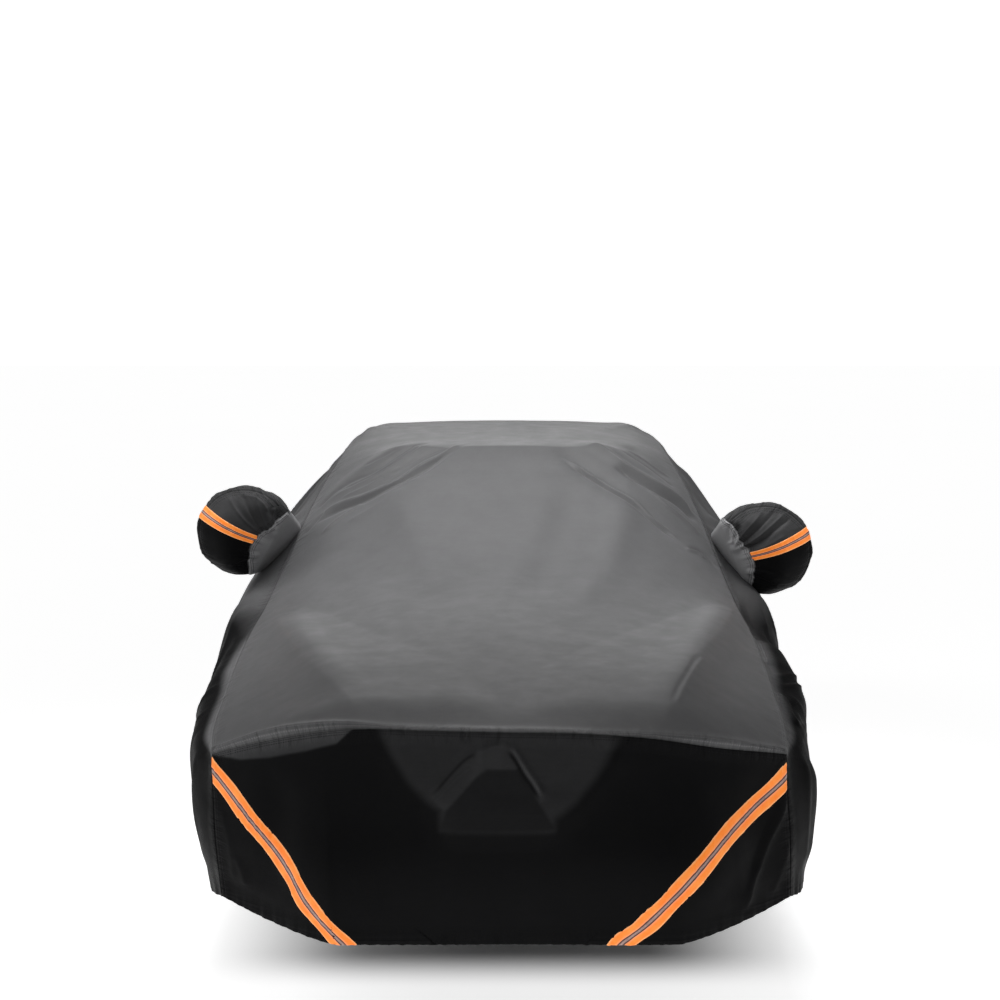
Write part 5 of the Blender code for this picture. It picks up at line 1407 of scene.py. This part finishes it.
def build_pocket(side):
    """The two halves of a mirror pocket and the tape over their seam."""
    root = np.linspace(0, 1, POCKET_COLUMNS) ** 1.5
    across = np.concatenate([-root[:0:-1], root])
    across = np.concatenate([[-2.0, -1.5, -1.2], across, [1.2, 1.5, 2.0]])
    # The upper half is painted paler than the lower, as painted light from above on one dark fabric.
    halves = (("upper", "side_cloth", 0.0, POCKET_ANGLE, 0.25),
              ("lower", "black_cloth", -POCKET_ANGLE, 0.0, 0.0))
    made = []
    for name, slot, low, high, shade in halves:
        count = int((high - low) / POCKET_TURN_STEP)
        turns = np.linspace(high, low, count)
        points, rim, turn, out, up, free, relief = pocket_sheet(side, turns, across)
        off = np.where(free > 0, np.abs(rim - 0.010), 0.05)
        # Painted on the pockets: COVER_TONE where the body's cloth laps over, and the seams' painted shade
        # along its edge.
        values = {"seam_off": np.minimum(off, np.abs(free)), "seam_run": turn, "across": out, "along": up,
                  "shade": shade, "cover": ease(-free / 0.003), "hem_off": 9.0, "relief": relief}
        piece = sheet_object("pocket_" + name + "_sheet_" + side, points, slot, side == "right", values)
        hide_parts("mirror_pocket_" + name + "_" + side)
        made.append(piece)
    radius = POCKETS[side][1]
    edge = math.degrees(math.asin(POCKET_TAPE / 2 / radius))
    over = symmetric(TAPE_SIDE)
    columns = np.linspace(-POCKET_TAPE_END ** (1 / 1.7), POCKET_TAPE_END ** (1 / 1.7), 230)
    columns = np.sign(columns) * np.abs(columns) ** 1.7
    points, _, _, out, up, free, _ = pocket_sheet(side, -over * edge, columns)
    sign = 1 if side == "right" else -1
    normals = grid_normals(points) * sign
    points[free < -TAPE_UNDER] = np.nan
    points, normals = trimmed(points.swapaxes(0, 1), normals.swapaxes(0, 1))
    points, normals = points.swapaxes(0, 1), normals.swapaxes(0, 1)
    along = path_length(points, 1)
    share = np.broadcast_to(over[:, None], along.shape)
    lift = tape_lift(share, along, 60 + sign) + POCKET_TAPE_RAISE
    values = {"tape_over": share, "tape_along": along}
    tape = sheet_object("pocket_tape_sheet_" + side, points + normals * lift[..., None],
                        "reflective_tape", side == "right", values)
    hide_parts("pocket_tape_" + side)
    return made + [tape]


ZIP_Y = 2.551                    # middle of the zip, behind the nose
ZIP_TOP = 0.975
ZIP_WIDTH = 0.024
ZIP_TEETH = 0.0032               # spacing of the teeth
TOOTH = (0.0030, 0.0020, 0.0018)             # across, along and out


def build_zip(side_tree, hem_z):
    """Closed door zip: two tape edges and the teeth between them."""
    over = symmetric((1.0, 0.93, 0.80, 0.60, 0.40, 0.26, 0.22, 0.10))
    heights = np.arange(ZIP_TOP, hem_z, -0.004)
    points = np.zeros((len(heights), len(over), 3))
    normals = np.zeros_like(points)
    for row, z in enumerate(heights):
        for col, share in enumerate(over):
            y = ZIP_Y + share * ZIP_WIDTH / 2
            points[row, col], normals[row, col] = cast(side_tree, 2.0, y, z, (-1.0, 0.0, 0.0))
    face = np.where(np.abs(over) < 0.24, 0.0004, 0.0012) * (np.abs(over) < 0.99)
    sheet = points + normals * (face + 0.0003)[None, :, None]
    tape = sheet_object("zip_tape_sheet", sheet, "zip_tape", True)
    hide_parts("door_zip")

    middle = len(over) // 2
    line = (points[:, middle - 1] + points[:, middle]) / 2
    out = normals[:, middle]
    run = path_length(line[:, None], 0)[:, 0]
    corners, faces = [], []
    box_faces = ((0, 1, 3, 2), (4, 6, 7, 5), (0, 2, 6, 4), (1, 5, 7, 3), (0, 4, 5, 1), (2, 3, 7, 6))
    for i, place in enumerate(np.arange(0.004, run[-1] - 0.030, ZIP_TEETH / 2)):
        at = np.array([np.interp(place, run, line[:, k]) for k in range(3)])
        face = np.array([np.interp(place, run, out[:, k]) for k in range(3)])
        face = face / np.linalg.norm(face)
        along = np.cross(face, (0.0, 1.0, 0.0))
        along = along / np.linalg.norm(along)
        across = np.cross(along, face)
        at = at + across * (0.0007 if i % 2 else -0.0007) + face * 0.0010
        first = len(corners)
        for a in (-0.5, 0.5):
            for b in (-0.5, 0.5):
                for c in (-0.5, 0.5):
                    taper = 0.75 if c > 0 else 1.0
                    corners.append(at + across * a * TOOTH[0] * taper + along * b * TOOTH[1] * taper
                                   + face * c * TOOTH[2])
        faces.extend(tuple(first + k for k in box) for box in box_faces)
    mesh = bpy.data.meshes.new("zip_teeth")
    mesh.from_pydata([tuple(corner - ORIGIN) for corner in corners], [], faces)
    finished("zip_teeth", mesh, "black_plastic")
    return tape


def tube_object(name, route, radius, slot, resolution=6):
    """Round tube along a line of points, as a curve of one open spline."""
    curve = bpy.data.curves.new(name, "CURVE")
    curve.dimensions = "3D"
    curve.bevel_depth = radius
    curve.bevel_resolution = resolution
    curve.use_fill_caps = True
    spline = curve.splines.new("POLY")
    spline.points.add(len(route) - 1)
    for point, at in zip(spline.points, route):
        point.co = (*(at - ORIGIN), 1.0)
    return finished(name, curve, slot)


STRAP_PLACE = 2.30
STRAP_WIDTH = 0.020
STRAP_THICK = 0.0011
STRAP_DROP = 0.085
STRAP_CLEAR = 0.0016
BAR = 0.0045
STRAP_STEPS = 90


def build_strap(hem):
    """Webbing folded round the buckle's bar, both ends sewn under the hem."""
    bar_x, bar_z = hem[0], hem[2] - CLOTH / 2 - STRAP_CLEAR - STRAP_DROP
    radius = BAR * 0.72 + STRAP_THICK / 2
    arc = np.linspace(0, -math.pi, 24)
    loop = np.stack([radius * np.cos(arc), radius * np.sin(arc)], axis=1)
    rise = np.linspace(0, 1, STRAP_STEPS // 2)
    near = 0.0009
    close = near + (radius - near) * (1 - ease(rise / 0.28))
    bow = 0.0012 * np.sin(rise * math.pi * 2.3) * ease((1 - rise) / 0.2)
    up = np.stack([close + bow, rise * (STRAP_DROP + 0.0006)], axis=1)
    down = np.stack([-close + bow, rise * (STRAP_DROP + 0.0006)], axis=1)
    line = np.concatenate([up[::-1], loop[1:-1], down])
    over = symmetric((1.0, 0.97, 0.7, 0.3))
    rows = [np.stack([bar_x + line[:, 0], np.full(len(line), STRAP_PLACE + share * STRAP_WIDTH / 2),
                      bar_z + line[:, 1]], axis=1) for share in over]
    piece = sheet_object("side_strap_sheet", np.array(rows), "webbing", False)
    thick = piece.modifiers.new("thickness", "SOLIDIFY")
    thick.thickness = STRAP_THICK
    thick.offset = 0.0
    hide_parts("side_strap")
    return piece


TIE = 0.004
TIE_ROUTE = (
    (0.8818, 4.270, 0.4272), (0.882, 4.271, 0.380), (0.887, 4.278, 0.300),
    (0.887, 4.288, 0.200), (0.897, 4.296, 0.110), (0.905, 4.302, 0.045),
    (0.913, 4.322, 0.010), (0.923, 4.362, 0.0023), (0.939, 4.410, 0.0023),
    (0.959, 4.450, 0.0023),
)
TIE_POINTS = 90


def build_tie():
    """Thin tie that hangs from the hem to the ground, with a free end."""
    place = np.linspace(0, len(TIE_ROUTE) - 1, TIE_POINTS)
    route = np.stack([smooth([p[i] for p in TIE_ROUTE], place) for i in range(3)], axis=1)
    tie = tube_object("rear_tie_cord", route, TIE / 2, "tie_cord")
    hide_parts("rear_tie")


def place_at(sheet, row, station_y):
    """Point of one row of a side sheet at a distance behind the nose."""
    line = sheet[row]
    return np.array([np.interp(station_y, line[:, 1], line[:, k]) for k in range(3)])


def build_all():
    top = build_top()
    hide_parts("top_panel")
    left, values = build_side(-1, LEFT_FOLDS, LEFT_CREASES, 5)
    left_piece = sheet_object("side_left_sheet", left, "side_cloth", False, values)
    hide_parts("side_panel_left")
    right, values = build_side(1, RIGHT_FOLDS, RIGHT_CREASES, 6)
    right_piece = sheet_object("side_right_sheet", right, "side_cloth", True, values)
    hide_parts("side_panel_right")
    front = build_end("front_sheet", FRONT_MIDDLE, 0, FRONT_FOLDS, FRONT_CREASES, FRONT_TENTS,
                      7, "black_cloth")
    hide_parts("front_panel")
    rear = build_end("rear_sheet", REAR_MIDDLE, LAST, REAR_FOLDS, REAR_CREASES, (), 8, "black_cloth")
    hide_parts("rear_panel")

    front_tree = tree_of(front)
    for phase, side in enumerate(TAPE_LINES):
        tape = build_front_tape(side, front_tree, phase)
    for side in POCKETS:
        upper, lower, tape = build_pocket(side)
    hem = place_at(right, -1, STRAP_PLACE)
    bottom = place_at(right, -1 - len(HEM_ROWS), ZIP_Y)[2]
    zip_piece = build_zip(tree_of(right_piece), bottom + 0.004)
    strap = build_strap(hem)
    build_tie()
    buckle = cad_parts["strap_buckle"]
    buckle.data.materials.clear()
    buckle.data.materials.append(MATERIALS["black_plastic"])


CAMERA_PLACE = (-0.0125, -9.15, 0.737)
CAMERA_TURN = (math.radians(90 - 6.28), 0.0, math.radians(0.046))
CAMERA_LENS = 90.0
FLOOR_SIZE = 60.0


def build_camera():
    camera = bpy.data.cameras.new("photo_camera")
    camera.lens = CAMERA_LENS
    camera.sensor_width = 36.0
    camera.clip_end = 200.0
    stand = bpy.data.objects.new("photo_camera", camera)
    stand.location = CAMERA_PLACE
    stand.rotation_euler = CAMERA_TURN
    bpy.context.scene.collection.objects.link(stand)
    bpy.context.scene.camera = stand


def build_floor():
    mesh = bpy.data.meshes.new("studio_floor")
    half = FLOOR_SIZE / 2
    corners = [(-half, -half, 0), (half, -half, 0), (half, half, 0), (-half, half, 0)]
    mesh.from_pydata(corners, [], [(0, 1, 2, 3)])
    mesh.materials.append(floor_look())
    floor = bpy.data.objects.new("studio_floor", mesh)
    floor.location = (0.0, 0.0, -REST_Z)
    bpy.context.scene.collection.objects.link(floor)


def area_light(name, place, aim, size, power, spread):
    """A softbox whose grid narrows its beam to spread degrees."""
    light = bpy.data.lights.new(name, "AREA")
    light.shape = "RECTANGLE"
    light.size, light.size_y = size
    light.energy = power
    light.spread = math.radians(spread)
    stand = bpy.data.objects.new(name, light)
    stand.location = place
    stand.rotation_euler = (Vector(aim) - Vector(place)).to_track_quat("-Z", "Y").to_euler()
    bpy.context.scene.collection.objects.link(stand)


LIGHTS = (                       # name, place, aim, size, watts, spread
    ("over_screen", (0.0, -0.3, 2.4), (0.0, -0.3, 0.0), (2.0, 2.0), 7.8, 60.0),
    ("over_bonnet", (0.0, -1.2, 2.0), (0.0, -1.2, 0.0), (2.5, 1.2), 11.8, 70.0),
    ("behind_roof", (0.0, 3.4, 1.5), (0.0, 0.2, 0.0), (3.0, 1.2), 2.9, 60.0),
    ("left", (-5.0, -1.0, 2.5), (-0.5, -1.0, -0.3), (3.0, 3.0), 18.0, 70.0),
    ("right", (5.0, -1.0, 2.5), (0.5, -1.0, -0.3), (3.0, 3.0), 3.0, 70.0),
)
WORLD = 0.216


def build_light():
    scene = bpy.context.scene
    scene.view_settings.view_transform = "Standard"
    world = bpy.data.worlds.new("studio")
    world.use_nodes = True
    tree = world.node_tree
    soft = tree.nodes["Background"]
    soft.inputs["Strength"].default_value = WORLD
    white = tree.nodes.new("ShaderNodeBackground")
    white.inputs["Strength"].default_value = 1.1
    path = tree.nodes.new("ShaderNodeLightPath")
    mix = tree.nodes.new("ShaderNodeMixShader")
    for node in (soft, white):
        node.inputs["Color"].default_value = (1.0, 1.0, 1.0, 1.0)
    tree.links.new(path.outputs["Is Camera Ray"], mix.inputs[0])
    tree.links.new(soft.outputs[0], mix.inputs[1])
    tree.links.new(white.outputs[0], mix.inputs[2])
    tree.links.new(mix.outputs[0], tree.nodes["World Output"].inputs["Surface"])
    scene.world = world
    for light in LIGHTS:
        area_light(*light)


build_all()
build_camera()
build_floor()
build_light()
